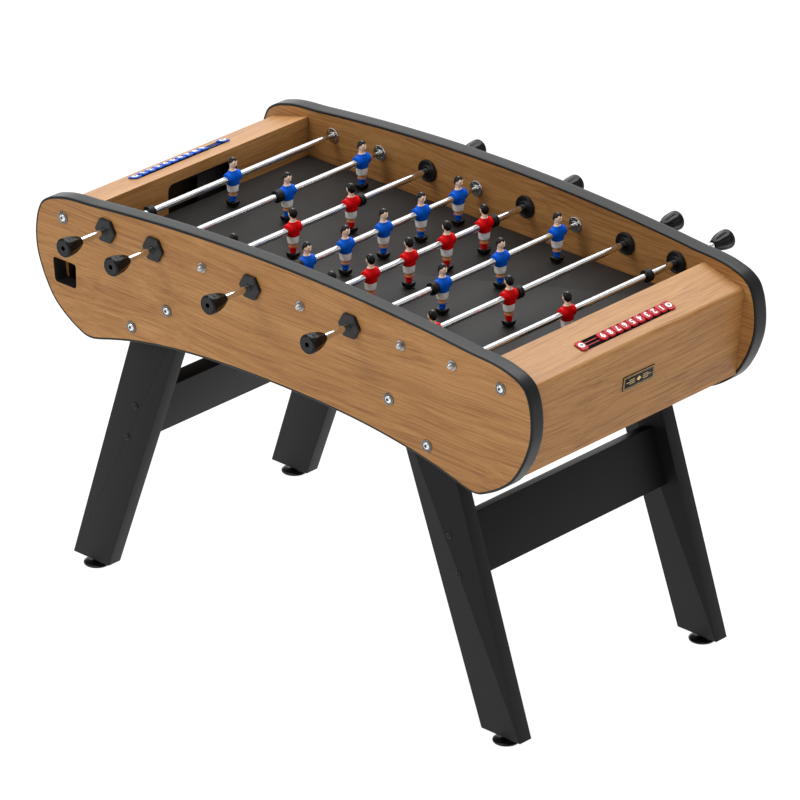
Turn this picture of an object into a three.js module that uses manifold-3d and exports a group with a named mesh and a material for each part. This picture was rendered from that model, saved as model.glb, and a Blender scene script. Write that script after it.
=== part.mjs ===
// Full-size foosball table with telescopic rods, built at true size in millimetres.
// Frame: +Z up, X along the playfield (blue goal at -X, red goal at +X), Y across it.
// The origin is on the floor under the middle of the playfield.
import * as THREE from "three";
import { mergeVertices } from "three/addons/utils/BufferGeometryUtils.js";
import Module from "manifold-3d";

const wasm = await Module();
wasm.setup();

// ---- driving dimensions, mm -------------------------------------------------------------
const ROUND_SIDES = 16; // flat sides of every turned piece
const GAP = 0.3; // air left between two pieces that touch in the real table
const ROD_COUNT = 8;
const ROD_PITCH = 150; // spacing of the rods along the playfield
const END_LANE = 79; // from the last rod to the goal wall
const INSIDE_WIDTH = 700; // between the two side panels
const FIELD_TOP = 822; // playing surface above the floor
const FIELD_THICK = 20;
const ROD_ABOVE_FIELD = 72;
const ROD_HEIGHT = FIELD_TOP + ROD_ABOVE_FIELD; // rod axis above the floor
const FIELD_HALF = ((ROD_COUNT - 1) * ROD_PITCH) / 2 + END_LANE; // middle to a goal wall

const PANEL_THICK = 38;
const PANEL_OVERHANG = 152; // how far a side panel runs past the goal wall
const PANEL_ABOVE_ROD = 78; // crown of the arched top edge over the rod axis
const PANEL_ARCH_RADIUS = 5500;
const PANEL_ROUND = 3; // softened edge of the rubber band round each panel
const INNER_Y = INSIDE_WIDTH / 2;
const OUTER_Y = INNER_Y + PANEL_THICK;

const TUBE_RADIUS = 8;
const TUBE_WALL = 1.6;
const TUBE_END_INSET = 32; // open end of the sliding tube to the panel, away from its handle
const BUMPER_RADIUS = 15;
const BUMPER_LENGTH = 16;
const BORE_CLEARANCE = 0.7; // between a tube and what it turns or slides in
const BORE_RADIUS = TUBE_RADIUS + BORE_CLEARANCE;

const HANDLE_STANDOFF = 84; // outer face of the panel to the small end of the handle
const HANDLE_LENGTH = 54;
const HANDLE_RADIUS = 23;
const HANDLE_LIP = 1.8; // wall of the handle at its small end
const HANDLE_CAP = 4; // closed outer end of the handle
const HANDLE_SEAT = 2; // from the cap to the end of the tube
const HANDLE_FLUTES = 8;
const HANDLE_NECK = OUTER_Y + HANDLE_STANDOFF;
const HANDLE_END = HANDLE_NECK + HANDLE_LENGTH;

const HEX_RADIUS = 31.5;
const HEX_THICK = 8;
const BARREL_WALL = 10.3;
const BARREL_RADIUS = BORE_RADIUS + BARREL_WALL;
const BARREL_CLEARANCE = 0.8; // round the barrel in its hole through the panel
const FLANGE_OVERLAP = 7.5; // how far the inside flange stands out past the barrel
const FLANGE_RADIUS = BARREL_RADIUS + FLANGE_OVERLAP;
const FLANGE_THICK = 6;

const MAN_ABOVE = 49.5; // top of the head above the rod axis
const BOOT_CLEARANCE = 3; // sole of the boots to the playing surface
const MAN_BELOW = ROD_ABOVE_FIELD - BOOT_CLEARANCE;
const MAN_HALF_WIDTH = 21;
const MAN_HALF_DEPTH = BORE_RADIUS + 4.9;
const MAN_EDGE_INSET = 62; // last man on the side away from the handle, to the panel
const MAN_OUTERMOST = INNER_Y - MAN_EDGE_INSET;
const BUMPER_OFFSET = MAN_HALF_WIDTH + BUMPER_LENGTH / 2 + GAP; // bumper against its man

const END_ABOVE_ROD = 24.5;
const END_TOP = ROD_HEIGHT + END_ABOVE_ROD; // end board at the goal wall
const END_TOP_DROP = 0.255; // fall of the end top per mm outwards
const END_TOP_DEPTH = 118; // goal wall to the outer face, along the top
const END_BASE_DEPTH = 98; // and along the bottom
const END_BELOW_FIELD = 147;
const END_BOTTOM = FIELD_TOP - END_BELOW_FIELD;
const END_NOSE_RADIUS = 12;
const END_BOARD = 18;
const END_FACE_TOP_X = FIELD_HALF + END_TOP_DEPTH;
const END_FACE_BOTTOM_X = FIELD_HALF + END_BASE_DEPTH;
const GOAL_WIDTH = 224;
const GOAL_LINTEL = 27.5; // board left over the goal mouth
const GOAL_SUNK = 40; // goal mouth carried down below the playing surface
const GOAL_CORNER = 18;
const GOAL_TOP = END_TOP - GOAL_LINTEL;

const RETURN_BELOW_FIELD = 45; // ball window in the side panel, under the playing surface
const RETURN_HEIGHT = 60;
const RETURN_INSET = 23; // goal wall to the inner edge of the window
const RETURN_WIDTH = 74;
const RETURN_NARROWING = 6; // how much shorter the window's lower edge is
const RETURN_CORNER = 9;
const RETURN_REVEAL = 8; // the hole in the end case stops short of the window by this, outwards
const RETURN_TOP = FIELD_TOP - RETURN_BELOW_FIELD;
const RETURN_BOTTOM = RETURN_TOP - RETURN_HEIGHT;
const RETURN_INNER_X = FIELD_HALF + RETURN_INSET;
const RETURN_OUTER_TOP_X = RETURN_INNER_X + RETURN_WIDTH;
const RETURN_OUTER_BOTTOM_X = RETURN_OUTER_TOP_X - RETURN_NARROWING;

const LEG_THICK = 38;
const LEG_FOOT_Z = 18;
const LEG_SPLAY = 91; // goal wall to the outer corner of the leg's lower end
const LEG_FOOT_LENGTH = 115;
const LEG_OUTER_LEAN = 0.332; // sideways run of the outer edge per mm of height
const LEG_INNER_LEAN = 0.372;
const LEG_HEADROOM = 6; // top of the leg to the underside of the playfield board
const LEG_FOOT_OUTER = FIELD_HALF + LEG_SPLAY;
const LEG_FOOT_INNER = LEG_FOOT_OUTER - LEG_FOOT_LENGTH;
const LEG_TOP = FIELD_TOP - FIELD_THICK - LEG_HEADROOM;
const FOOT_RADIUS = 31;
const FOOT_DISC = 9;
const FOOT_STEM_RADIUS = 9;
const FOOT_STEM_SUNK = 6; // stem carried up into the leg

const CROSS_CENTRE_Z = 423;
const CROSS_OUTWARD = 5; // crossbar centre outside the middle of the leg
const CROSS_HEIGHT = 138;
const CROSS_THICK = 38;
const CROSS_LEAN = 0.32;

const COUNTER_COUNT = 9;
const COUNTER_LENGTH = 23.7;
const COUNTER_AIR = 0.6; // between two counters pushed together
const COUNTER_WIDTH = 27;
const COUNTER_HEIGHT = 5;
const COUNTER_HUB_RADIUS = 1.8;
const COUNTER_HUB_SUNK = 3; // hub carried into the counter on each side of it
const COUNTER_INSET = 71; // goal wall to the middle of the counter rail
const COUNTER_RAIL_HALF = 132; // rail half length between the end plates
const COUNTER_RAIL_SHIFT = 3; // middle of the rail to the middle of the table
const COUNTER_STOP = 1; // last counter to the end plate
const COUNTER_ROUND = 2.2;
const COUNTER_DRAFT = 1; // a counter is narrower by this at its top, on each side
const COUNTER_LIFT = 0.8; // counters clear of the end board
const COUNTER_RAIL_X = FIELD_HALF + COUNTER_INSET;
const COUNTER_PITCH = COUNTER_LENGTH + COUNTER_AIR;

const BADGE_WIDTH = 104;
const BADGE_HEIGHT = 34;
const BADGE_THICK = 2;
const BADGE_ABOVE_BOTTOM = 114;
const BADGE_SHIFT = 6; // middle of the badge to the middle of the end face
const BADGE_CORNER = 3;
const BADGE_Z = END_BOTTOM + BADGE_ABOVE_BOTTOM;

// Number of men on each rod, and the team: blue plays from the -Y side, red from the +Y side.
const RODS = [
  { team: "blue", men: 1 },
  { team: "blue", men: 2 },
  { team: "red", men: 3 },
  { team: "blue", men: 5 },
  { team: "red", men: 5 },
  { team: "blue", men: 3 },
  { team: "red", men: 2 },
  { team: "red", men: 1 },
];
const MAN_SPACING = { 1: 0, 2: 248, 3: 190.2, 5: 124.5 };
const GOALIE_OFFSET = 17.5;
const GOALIE_BUMPER_INSET = 100; // bumper of a goalkeeper's rod to the panel

// ---- materials --------------------------------------------------------------------------
const FINISH = {
  oak: { color: 0xa97c50, roughness: 0.5, metalness: 0 },
  oakDark: { color: 0x8a6038, roughness: 0.5, metalness: 0 },
  field: { color: 0x3c3b3a, roughness: 0.4, metalness: 0 },
  black: { color: 0x232323, roughness: 0.45, metalness: 0 },
  board: { color: 0x2d2d2e, roughness: 0.55, metalness: 0 },
  chrome: { color: 0xd2d4d6, roughness: 0.12, metalness: 1 },
  blue: { color: 0x0050be, roughness: 0.4, metalness: 0 },
  red: { color: 0xc80a19, roughness: 0.4, metalness: 0 },
  gold: { color: 0x2a261a, roughness: 0.35, metalness: 0.3 },
};

const table = new THREE.Group();
table.name = "foosball_table";

function addPiece(name, geometry, finish) {
  const mesh = new THREE.Mesh(geometry, new THREE.MeshStandardMaterial(FINISH[finish]));
  mesh.name = name;
  table.add(mesh);
  return mesh;
}

// ---- solid helpers ----------------------------------------------------------------------
function toManifold(geometry) {
  const plain = geometry.clone();
  plain.deleteAttribute("normal");
  plain.deleteAttribute("uv");
  const welded = mergeVertices(plain, 1e-4);
  const vertProperties = new Float32Array(welded.attributes.position.array);
  const triVerts = new Uint32Array(welded.index.array);
  const solid = new wasm.Manifold(new wasm.Mesh({ numProp: 3, vertProperties, triVerts }));
  return solid;
}

function fromManifold(solid) {
  const mesh = solid.getMesh();
  const geometry = new THREE.BufferGeometry();
  geometry.setAttribute("position", new THREE.BufferAttribute(new Float32Array(mesh.vertProperties), 3));
  geometry.setIndex(new THREE.BufferAttribute(new Uint32Array(mesh.triVerts), 1));
  geometry.computeVertexNormals();
  return geometry;
}

// Faces the whole surface outwards, judged from the sign of the enclosed volume.
function facedOutwards(geometry) {
  const indexed = geometry.index ? geometry : mergeVertices(geometry);
  const p = indexed.attributes.position;
  const t = indexed.index.array;
  const a = new THREE.Vector3();
  const b = new THREE.Vector3();
  const c = new THREE.Vector3();
  let volume = 0;
  for (let i = 0; i < t.length; i += 3) {
    a.fromBufferAttribute(p, t[i]);
    b.fromBufferAttribute(p, t[i + 1]);
    c.fromBufferAttribute(p, t[i + 2]);
    volume += a.dot(b.clone().cross(c));
  }
  if (volume < 0) {
    for (let i = 0; i < t.length; i += 3) {
      const keep = t[i + 1];
      t[i + 1] = t[i + 2];
      t[i + 2] = keep;
    }
  }
  return indexed;
}

// Turned piece about the Y axis; profile is a list of [radius, y] closing on itself or on the axis.
function turned(profile, segments) {
  const points = profile.map(([r, y]) => new THREE.Vector2(r, y));
  const geometry = new THREE.LatheGeometry(points, segments);
  geometry.deleteAttribute("normal");
  geometry.deleteAttribute("uv");
  return facedOutwards(dropSlivers(mergeVertices(geometry, 1e-4)));
}

// Drops the zero-area triangles a turned profile leaves where it meets its own axis.
function dropSlivers(geometry) {
  const t = geometry.index.array;
  const kept = [];
  for (let i = 0; i < t.length; i += 3) {
    if (t[i] !== t[i + 1] && t[i + 1] !== t[i + 2] && t[i] !== t[i + 2]) {
      kept.push(t[i], t[i + 1], t[i + 2]);
    }
  }
  geometry.setIndex(kept);
  return geometry;
}

// Straight prism: an outline drawn in the XZ plane, run from yFrom to yTo.
function prismAlongY(points, yFrom, yTo, holes = []) {
  const shape = new THREE.Shape(points.map(([x, z]) => new THREE.Vector2(x, z)));
  for (const hole of holes) {
    shape.holes.push(new THREE.Path(hole.map(([x, z]) => new THREE.Vector2(x, z))));
  }
  const geometry = new THREE.ExtrudeGeometry(shape, { depth: yTo - yFrom, bevelEnabled: false });
  geometry.rotateX(Math.PI / 2);
  geometry.translate(0, yTo, 0);
  return geometry;
}

function circlePoints(cx, cz, radius, count, phase = 0) {
  const out = [];
  for (let i = 0; i < count; i += 1) {
    const angle = phase + (2 * Math.PI * i) / count;
    out.push([cx + radius * Math.cos(angle), cz + radius * Math.sin(angle)]);
  }
  return out;
}

// Rounds every corner of a polygon with a short arc of the given radius.
function roundedPolygon(points, radius, steps = 3) {
  const out = [];
  const n = points.length;
  for (let i = 0; i < n; i += 1) {
    const p = new THREE.Vector2(...points[i]);
    const before = new THREE.Vector2(...points[(i + n - 1) % n]).sub(p);
    const after = new THREE.Vector2(...points[(i + 1) % n]).sub(p);
    const reach = Math.min(radius, before.length() / 2.2, after.length() / 2.2);
    const from = p.clone().addScaledVector(before.normalize(), reach);
    const to = p.clone().addScaledVector(after.normalize(), reach);
    for (let k = 0; k <= steps; k += 1) {
      const s = k / steps;
      const x = (1 - s) * (1 - s) * from.x + 2 * s * (1 - s) * p.x + s * s * to.x;
      const z = (1 - s) * (1 - s) * from.y + 2 * s * (1 - s) * p.y + s * s * to.y;
      out.push([x, z]);
    }
  }
  return out;
}

function box(x0, x1, y0, y1, z0, z1) {
  const geometry = new THREE.BoxGeometry(x1 - x0, y1 - y0, z1 - z0);
  geometry.translate((x0 + x1) / 2, (y0 + y1) / 2, (z0 + z1) / 2);
  return geometry;
}

// The far half of the table is the near half turned half a turn about the vertical.
function halfTurn(geometry) {
  const turnedOver = geometry.clone();
  turnedOver.rotateZ(Math.PI);
  return turnedOver;
}

const rodX = (i) => (i - (ROD_COUNT - 1) / 2) * ROD_PITCH;

// ---- side panels ------------------------------------------------------------------------
// Outline of a panel: crowned top, bulging ends, two pointed feet and a hollowed lower edge.
function panelOutline() {
  const half = FIELD_HALF + PANEL_OVERHANG;
  const apex = ROD_HEIGHT + PANEL_ABOVE_ROD;
  const arch = (x) => apex - (x * x) / (2 * PANEL_ARCH_RADIUS);
  const side = [];
  for (let i = 0; i <= 6; i += 1) {
    const x = ((half - 76) * i) / 6;
    side.push([x, arch(x)]);
  }
  const shoulder = arch(half - 76);
  const end = [
    [half - 42, shoulder - 12],
    [half - 21, shoulder - 28],
    [half - 9, shoulder - 52],
    [half - 2, shoulder - 83],
    [half, shoulder - 115],
    [half - 3, shoulder - 147],
    [half - 13, shoulder - 181],
    [half - 32, shoulder - 222],
    [half - 57, shoulder - 259],
    [half - 90, shoulder - 287],
    [half - 134, shoulder - 312],
    [half - 154, shoulder - 320],
    [half - 176, shoulder - 321.5],
    [half - 198, shoulder - 317],
    [half - 226, shoulder - 309],
    [half - 296, shoulder - 291],
    [half - 376, shoulder - 276],
    [half - 486, shoulder - 262],
    [half - 606, shoulder - 254],
  ];
  const right = side.concat(end);
  right.push([0, shoulder - 251]);
  const left = right.slice(1, -1).reverse().map(([x, z]) => [-x, z]);
  return right.concat(left);
}

// Softens the outline's two rims by one small chamfer, as the rubber band round it is softened.
function bandedPanel(yFrom, yTo, holes) {
  const shape = new THREE.Shape(panelOutline().map(([x, z]) => new THREE.Vector2(x, z)));
  const depth = yTo - yFrom - 2 * PANEL_ROUND;
  const options = { depth, bevelEnabled: true, bevelThickness: PANEL_ROUND, bevelSize: PANEL_ROUND };
  options.bevelOffset = -PANEL_ROUND;
  options.bevelSegments = 1;
  const geometry = new THREE.ExtrudeGeometry(shape, options);
  geometry.rotateX(Math.PI / 2);
  geometry.translate(0, yTo - PANEL_ROUND, 0);
  let solid = toManifold(facedOutwards(geometry));
  for (const hole of holes) {
    const cutter = prismAlongY(hole, yFrom - 5, yTo + 5);
    solid = solid.subtract(toManifold(facedOutwards(cutter)));
  }
  return fromManifold(solid);
}

function nearPanel() {
  const holes = [];
  RODS.forEach((rod, i) => {
    if (rod.team === "blue") {
      holes.push(circlePoints(rodX(i), ROD_HEIGHT, BARREL_RADIUS + BARREL_CLEARANCE, ROUND_SIDES));
    }
  });
  holes.push(roundedPolygon([
    [-RETURN_OUTER_TOP_X, RETURN_TOP],
    [-RETURN_INNER_X, RETURN_TOP],
    [-RETURN_INNER_X, RETURN_BOTTOM],
    [-RETURN_OUTER_BOTTOM_X, RETURN_BOTTOM],
  ], RETURN_CORNER, 2));
  return bandedPanel(-OUTER_Y, -INNER_Y, holes);
}

const nearPanelGeometry = nearPanel();
addPiece("side_panel_near", nearPanelGeometry, "oak");
addPiece("side_panel_far", halfTurn(nearPanelGeometry), "oak");

// ---- playfield --------------------------------------------------------------------------
addPiece("playfield", box(
  -FIELD_HALF + GAP, FIELD_HALF - GAP,
  -INNER_Y + GAP, INNER_Y - GAP,
  FIELD_TOP - FIELD_THICK, FIELD_TOP,
), "field");

// ---- ends: a hollow case with the goal mouth inside and the ball outlet on one side --------
const endTopAt = (x) => END_TOP - END_TOP_DROP * (x - FIELD_HALF);
const faceLean = (END_FACE_TOP_X - END_FACE_BOTTOM_X) / (endTopAt(END_FACE_TOP_X) - END_BOTTOM);

// Lower-left of the profile first, then round the case; inset moves every board face inwards.
function endProfile(inset) {
  const wall = FIELD_HALF + inset;
  const floor = END_BOTTOM + inset;
  const topDrop = inset * Math.hypot(1, END_TOP_DROP);
  const faceShift = inset * Math.hypot(1, faceLean);
  const faceX = (z) => END_FACE_BOTTOM_X + faceLean * (z - END_BOTTOM) - faceShift;
  const topZ = (x) => endTopAt(x) - topDrop;
  let x = END_FACE_TOP_X - inset;
  for (let i = 0; i < 8; i += 1) {
    x = faceX(topZ(x));
  }
  return [[wall, floor], [faceX(floor), floor], [x, topZ(x)], [wall, topZ(wall)]];
}

function endCase() {
  const corners = endProfile(0);
  const outline = [corners[0], corners[1]];
  const nose = roundedPolygon(corners, END_NOSE_RADIUS, 3);
  outline.push(...nose.slice(8, 12));
  outline.push(corners[3]);
  const length = INNER_Y - GAP;
  let solid = toManifold(facedOutwards(prismAlongY(outline, -length, length)));
  const hollow = prismAlongY(endProfile(END_BOARD), -length + END_BOARD, length - END_BOARD);
  solid = solid.subtract(toManifold(facedOutwards(hollow)));
  const half = GOAL_WIDTH / 2;
  const mouth = new THREE.Shape(roundedPolygon([
    [-half, FIELD_TOP - GOAL_SUNK], [half, FIELD_TOP - GOAL_SUNK], [half, GOAL_TOP], [-half, GOAL_TOP],
  ], GOAL_CORNER, 3).map(([y, z]) => new THREE.Vector2(y, z)));
  const mouthCut = new THREE.ExtrudeGeometry(mouth, { depth: END_BOARD + 10, bevelEnabled: false });
  mouthCut.rotateX(Math.PI / 2);
  mouthCut.rotateZ(Math.PI / 2);
  mouthCut.translate(FIELD_HALF - 5, 0, 0);
  solid = solid.subtract(toManifold(facedOutwards(mouthCut)));
  const outlet = roundedPolygon([
    [RETURN_OUTER_TOP_X - RETURN_REVEAL, RETURN_TOP],
    [RETURN_INNER_X, RETURN_TOP],
    [RETURN_INNER_X, RETURN_BOTTOM],
    [RETURN_OUTER_BOTTOM_X - RETURN_REVEAL, RETURN_BOTTOM],
  ], RETURN_CORNER, 2);
  const outletCut = prismAlongY(outlet, length - END_BOARD - 5, length + 5);
  solid = solid.subtract(toManifold(facedOutwards(outletCut)));
  return fromManifold(solid);
}

const rightEnd = endCase();
addPiece("end_case_right", rightEnd, "oakDark");
addPiece("end_case_left", halfTurn(rightEnd), "oakDark");

// ---- rod bearings: hexagonal plate outside, barrel through the panel, round flange inside -----
function bearing() {
  const outside = -OUTER_Y - GAP;
  const inside = -INNER_Y + GAP;
  const plate = roundedPolygon(circlePoints(0, 0, HEX_RADIUS, 6), 2.5, 1);
  let solid = toManifold(facedOutwards(prismAlongY(plate, outside - HEX_THICK, outside)));
  const barrel = turned([
    [0, outside - HEX_THICK / 2],
    [BARREL_RADIUS, outside - HEX_THICK / 2],
    [BARREL_RADIUS, inside],
    [FLANGE_RADIUS, inside],
    [FLANGE_RADIUS, inside + FLANGE_THICK - 1.5],
    [FLANGE_RADIUS - 1.5, inside + FLANGE_THICK],
    [0, inside + FLANGE_THICK],
  ], ROUND_SIDES);
  solid = solid.add(toManifold(barrel));
  const bore = turned([
    [0, outside - HEX_THICK - 5],
    [BORE_RADIUS, outside - HEX_THICK - 5],
    [BORE_RADIUS, inside + FLANGE_THICK + 5],
    [0, inside + FLANGE_THICK + 5],
  ], ROUND_SIDES);
  solid = solid.subtract(toManifold(bore));
  return fromManifold(solid);
}

// ---- rods --------------------------------------------------------------------------------
// Sliding tube of a blue rod, with its rubber bumper ring; it is open at the end away from
// the handle, where it runs over a thinner fixed bar.
function tube(bumperY) {
  const b0 = bumperY - BUMPER_LENGTH / 2;
  const b1 = bumperY + BUMPER_LENGTH / 2;
  const bore = TUBE_RADIUS - TUBE_WALL;
  const start = HANDLE_CAP + HANDLE_SEAT - HANDLE_END;
  const open = INNER_Y - TUBE_END_INSET;
  return turned([
    [bore, start],
    [TUBE_RADIUS, start],
    [TUBE_RADIUS, b0],
    [BUMPER_RADIUS - 1.5, b0],
    [BUMPER_RADIUS, b0 + 1.5],
    [BUMPER_RADIUS, b1 - 1.5],
    [BUMPER_RADIUS - 1.5, b1],
    [TUBE_RADIUS, b1],
    [TUBE_RADIUS, open],
    [bore, open],
    [bore, start],
  ], ROUND_SIDES);
}

// Bell-shaped grip pushed on the tube, its swelling body fluted all round.
function handle() {
  const r = BORE_RADIUS;
  const neck = -HANDLE_NECK;
  const end = -HANDLE_END;
  const body = [
    [r, neck], [r + HANDLE_LIP, neck], [r + 3.8, neck - 4], [16.3, neck - 11], [19.6, neck - 20],
    [21.8, neck - 31], [HANDLE_RADIUS, neck - 43], [HANDLE_RADIUS, end + 3], [HANDLE_RADIUS - 3, end],
  ];
  const inside = [[0, end], [0, end + HANDLE_CAP], [r, end + HANDLE_CAP], [r, neck]];
  const geometry = turned([...body, ...inside], 2 * HANDLE_FLUTES);
  const p = geometry.attributes.position;
  for (let i = 0; i < p.count; i += 1) {
    const x = p.getX(i);
    const y = p.getY(i);
    const z = p.getZ(i);
    const radius = Math.hypot(x, z);
    const onBody = radius > r + 2 && y > neck - 42 && y < neck - 3;
    if (onBody) {
      const wave = Math.cos(HANDLE_FLUTES * Math.atan2(z, x));
      const scale = (radius - 0.7 + 0.7 * wave) / radius;
      p.setXYZ(i, x * scale, y, z * scale);
    }
  }
  return geometry;
}

// ---- men ---------------------------------------------------------------------------------
// A man is a stack of rounded rings from boots to crown: [z, half width Y, half depth X, squareness].
const SOLE = -MAN_BELOW;
const MAN_RINGS = [
  [SOLE, 11, 10, 1],
  [SOLE + 12, 13, 13.5, 1],
  [SOLE + 13.5, 7.2, 7.2, 0],
  [SOLE + 23, 7, 7, 0],
  [SOLE + 25.5, 10.5, 10, 0],
  [SOLE + 35, 9.2, 9.2, 0],
  [SOLE + 36.5, 12.2, 11.5, 0.2],
  [-14, 14.8, 13, 0.2],
  [6, MAN_HALF_WIDTH, MAN_HALF_DEPTH, 0],
  [16, 16, 10, 0],
  [22, 6.8, 7, 0],
  [29, 9.5, 11, 0],
  [41, 10.8, 12, 0],
  [MAN_ABOVE, 5, 5.5, 0],
];

function man() {
  const sides = 8;
  const positions = [];
  for (const [z, a, b, square] of MAN_RINGS) {
    for (let k = 0; k < sides; k += 1) {
      const angle = (2 * Math.PI * (k + 0.5)) / sides;
      const cos = Math.cos(angle);
      const sin = Math.sin(angle);
      const toCorner = 1 / Math.max(Math.abs(cos), Math.abs(sin));
      const reach = (1 / Math.cos(Math.PI / sides)) * (1 - square) + toCorner * square;
      positions.push(b * cos * reach, a * sin * reach, z);
    }
  }
  const index = [];
  const rings = MAN_RINGS.length;
  for (let r = 0; r < rings - 1; r += 1) {
    for (let k = 0; k < sides; k += 1) {
      const next = (k + 1) % sides;
      const a = r * sides + k;
      const b = r * sides + next;
      const c = (r + 1) * sides + next;
      const d = (r + 1) * sides + k;
      index.push(a, b, c, a, c, d);
    }
  }
  for (let k = 1; k < sides - 1; k += 1) {
    index.push(0, k + 1, k);
    const top = (rings - 1) * sides;
    index.push(top, top + k, top + k + 1);
  }
  const geometry = new THREE.BufferGeometry();
  geometry.setAttribute("position", new THREE.Float32BufferAttribute(positions, 3));
  geometry.setIndex(index);
  const half = MAN_HALF_WIDTH + 10;
  const r = BORE_RADIUS / Math.cos(Math.PI / 10);
  const bore = turned([[0, -half], [r, -half], [r, half], [0, half]], 10);
  return fromManifold(toManifold(facedOutwards(geometry)).subtract(toManifold(bore)));
}

// Blue men stand along +Y from the middle; a red rod is the matching blue rod turned about.
function menPositions(count) {
  if (count === 1) {
    return [GOALIE_OFFSET];
  }
  const out = [];
  for (let i = 0; i < count; i += 1) {
    out.push(MAN_OUTERMOST - (count - 1 - i) * MAN_SPACING[count]);
  }
  return out;
}

const manGeometry = man();
const handleGeometry = handle();
const bearingGeometry = bearing();

RODS.forEach((rod, i) => {
  const red = rod.team === "red";
  const place = (geometry) => {
    const piece = geometry.clone();
    if (red) {
      piece.rotateZ(Math.PI);
    }
    piece.translate(rodX(i), 0, ROD_HEIGHT);
    return piece;
  };
  const men = menPositions(rod.men);
  const bumperY = rod.men === 1 ? GOALIE_BUMPER_INSET - INNER_Y : men[0] - BUMPER_OFFSET;
  const label = `rod${i + 1}`;
  addPiece(`${label}_bearing`, place(bearingGeometry), "black");
  addPiece(`${label}_tube`, place(tube(bumperY)), "chrome");
  addPiece(`${label}_handle`, place(handleGeometry), "black");
  men.forEach((y, k) => {
    const figure = manGeometry.clone();
    figure.translate(0, y, 0);
    addPiece(`${label}_man${k + 1}`, place(figure), rod.team);
  });
});

// ---- legs and crossbars --------------------------------------------------------------------
// Middle of a leg's width at a height above the floor.
function legMiddle(z) {
  const rise = z - LEG_FOOT_Z;
  const lean = (LEG_OUTER_LEAN + LEG_INNER_LEAN) / 2;
  return (LEG_FOOT_OUTER + LEG_FOOT_INNER) / 2 - lean * rise;
}

function leg() {
  const rise = LEG_TOP - LEG_FOOT_Z;
  const y1 = INNER_Y - GAP;
  const board = prismAlongY([
    [LEG_FOOT_INNER, LEG_FOOT_Z],
    [LEG_FOOT_OUTER, LEG_FOOT_Z],
    [LEG_FOOT_OUTER - LEG_OUTER_LEAN * rise, LEG_TOP],
    [LEG_FOOT_INNER - LEG_INNER_LEAN * rise, LEG_TOP],
  ], y1 - LEG_THICK, y1);
  const foot = turned([
    [0, 0],
    [FOOT_RADIUS - 1.5, 0],
    [FOOT_RADIUS, 1.5],
    [FOOT_RADIUS, FOOT_DISC - 2],
    [FOOT_RADIUS - 3, FOOT_DISC],
    [FOOT_STEM_RADIUS, FOOT_DISC],
    [FOOT_STEM_RADIUS, LEG_FOOT_Z + FOOT_STEM_SUNK],
    [0, LEG_FOOT_Z + FOOT_STEM_SUNK],
  ], ROUND_SIDES);
  foot.rotateX(Math.PI / 2);
  foot.translate((LEG_FOOT_OUTER + LEG_FOOT_INNER) / 2, y1 - LEG_THICK / 2, 0);
  const solid = toManifold(facedOutwards(board)).add(toManifold(foot));
  return fromManifold(solid);
}

const legGeometry = leg();
const legMirror = facedOutwards(mergeVertices(legGeometry.clone().scale(-1, 1, 1)));
addPiece("leg_right_far", legGeometry, "board");
addPiece("leg_left_far", legMirror, "board");
addPiece("leg_left_near", halfTurn(legGeometry), "board");
addPiece("leg_right_near", halfTurn(legMirror), "board");

function crossbar() {
  const reach = INNER_Y - GAP - LEG_THICK - GAP;
  const geometry = box(-CROSS_THICK / 2, CROSS_THICK / 2, -reach, reach, -CROSS_HEIGHT / 2, CROSS_HEIGHT / 2);
  geometry.rotateY(-Math.atan(CROSS_LEAN));
  geometry.translate(legMiddle(CROSS_CENTRE_Z) + CROSS_OUTWARD, 0, CROSS_CENTRE_Z);
  return geometry;
}

addPiece("crossbar_right", crossbar(), "board");
addPiece("crossbar_left", halfTurn(crossbar()), "board");

// ---- score counters and badge ---------------------------------------------------------------
// Nine counters pushed together at the +Y end of their rail; the end top slopes outwards.
function counters() {
  let solid = null;
  for (let i = 0; i < COUNTER_COUNT; i += 1) {
    const y1 = COUNTER_RAIL_SHIFT + COUNTER_RAIL_HALF - COUNTER_STOP - i * COUNTER_PITCH;
    const outline = roundedPolygon([
      [-COUNTER_WIDTH / 2, 0], [COUNTER_WIDTH / 2, 0],
      [COUNTER_WIDTH / 2 - COUNTER_DRAFT, COUNTER_HEIGHT],
      [-COUNTER_WIDTH / 2 + COUNTER_DRAFT, COUNTER_HEIGHT],
    ], COUNTER_ROUND, 1);
    const block = prismAlongY(outline, y1 - COUNTER_LENGTH, y1);
    const one = toManifold(facedOutwards(block));
    solid = solid ? solid.add(one) : one;
    if (i > 0) {
      const round = circlePoints(0, COUNTER_HEIGHT / 2, COUNTER_HUB_RADIUS, 6);
      const hub = prismAlongY(round, y1 - COUNTER_HUB_SUNK, y1 + COUNTER_AIR + COUNTER_HUB_SUNK);
      solid = solid.add(toManifold(facedOutwards(hub)));
    }
  }
  const geometry = fromManifold(solid);
  const slope = Math.atan(END_TOP_DROP);
  geometry.rotateY(slope);
  const lift = COUNTER_LIFT / Math.cos(slope);
  geometry.translate(COUNTER_RAIL_X, 0, endTopAt(COUNTER_RAIL_X) + lift);
  return geometry;
}

addPiece("score_counters_red", counters(), "red");
const blueCounters = counters();
blueCounters.scale(-1, -1, 1);
addPiece("score_counters_blue", blueCounters, "blue");

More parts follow.
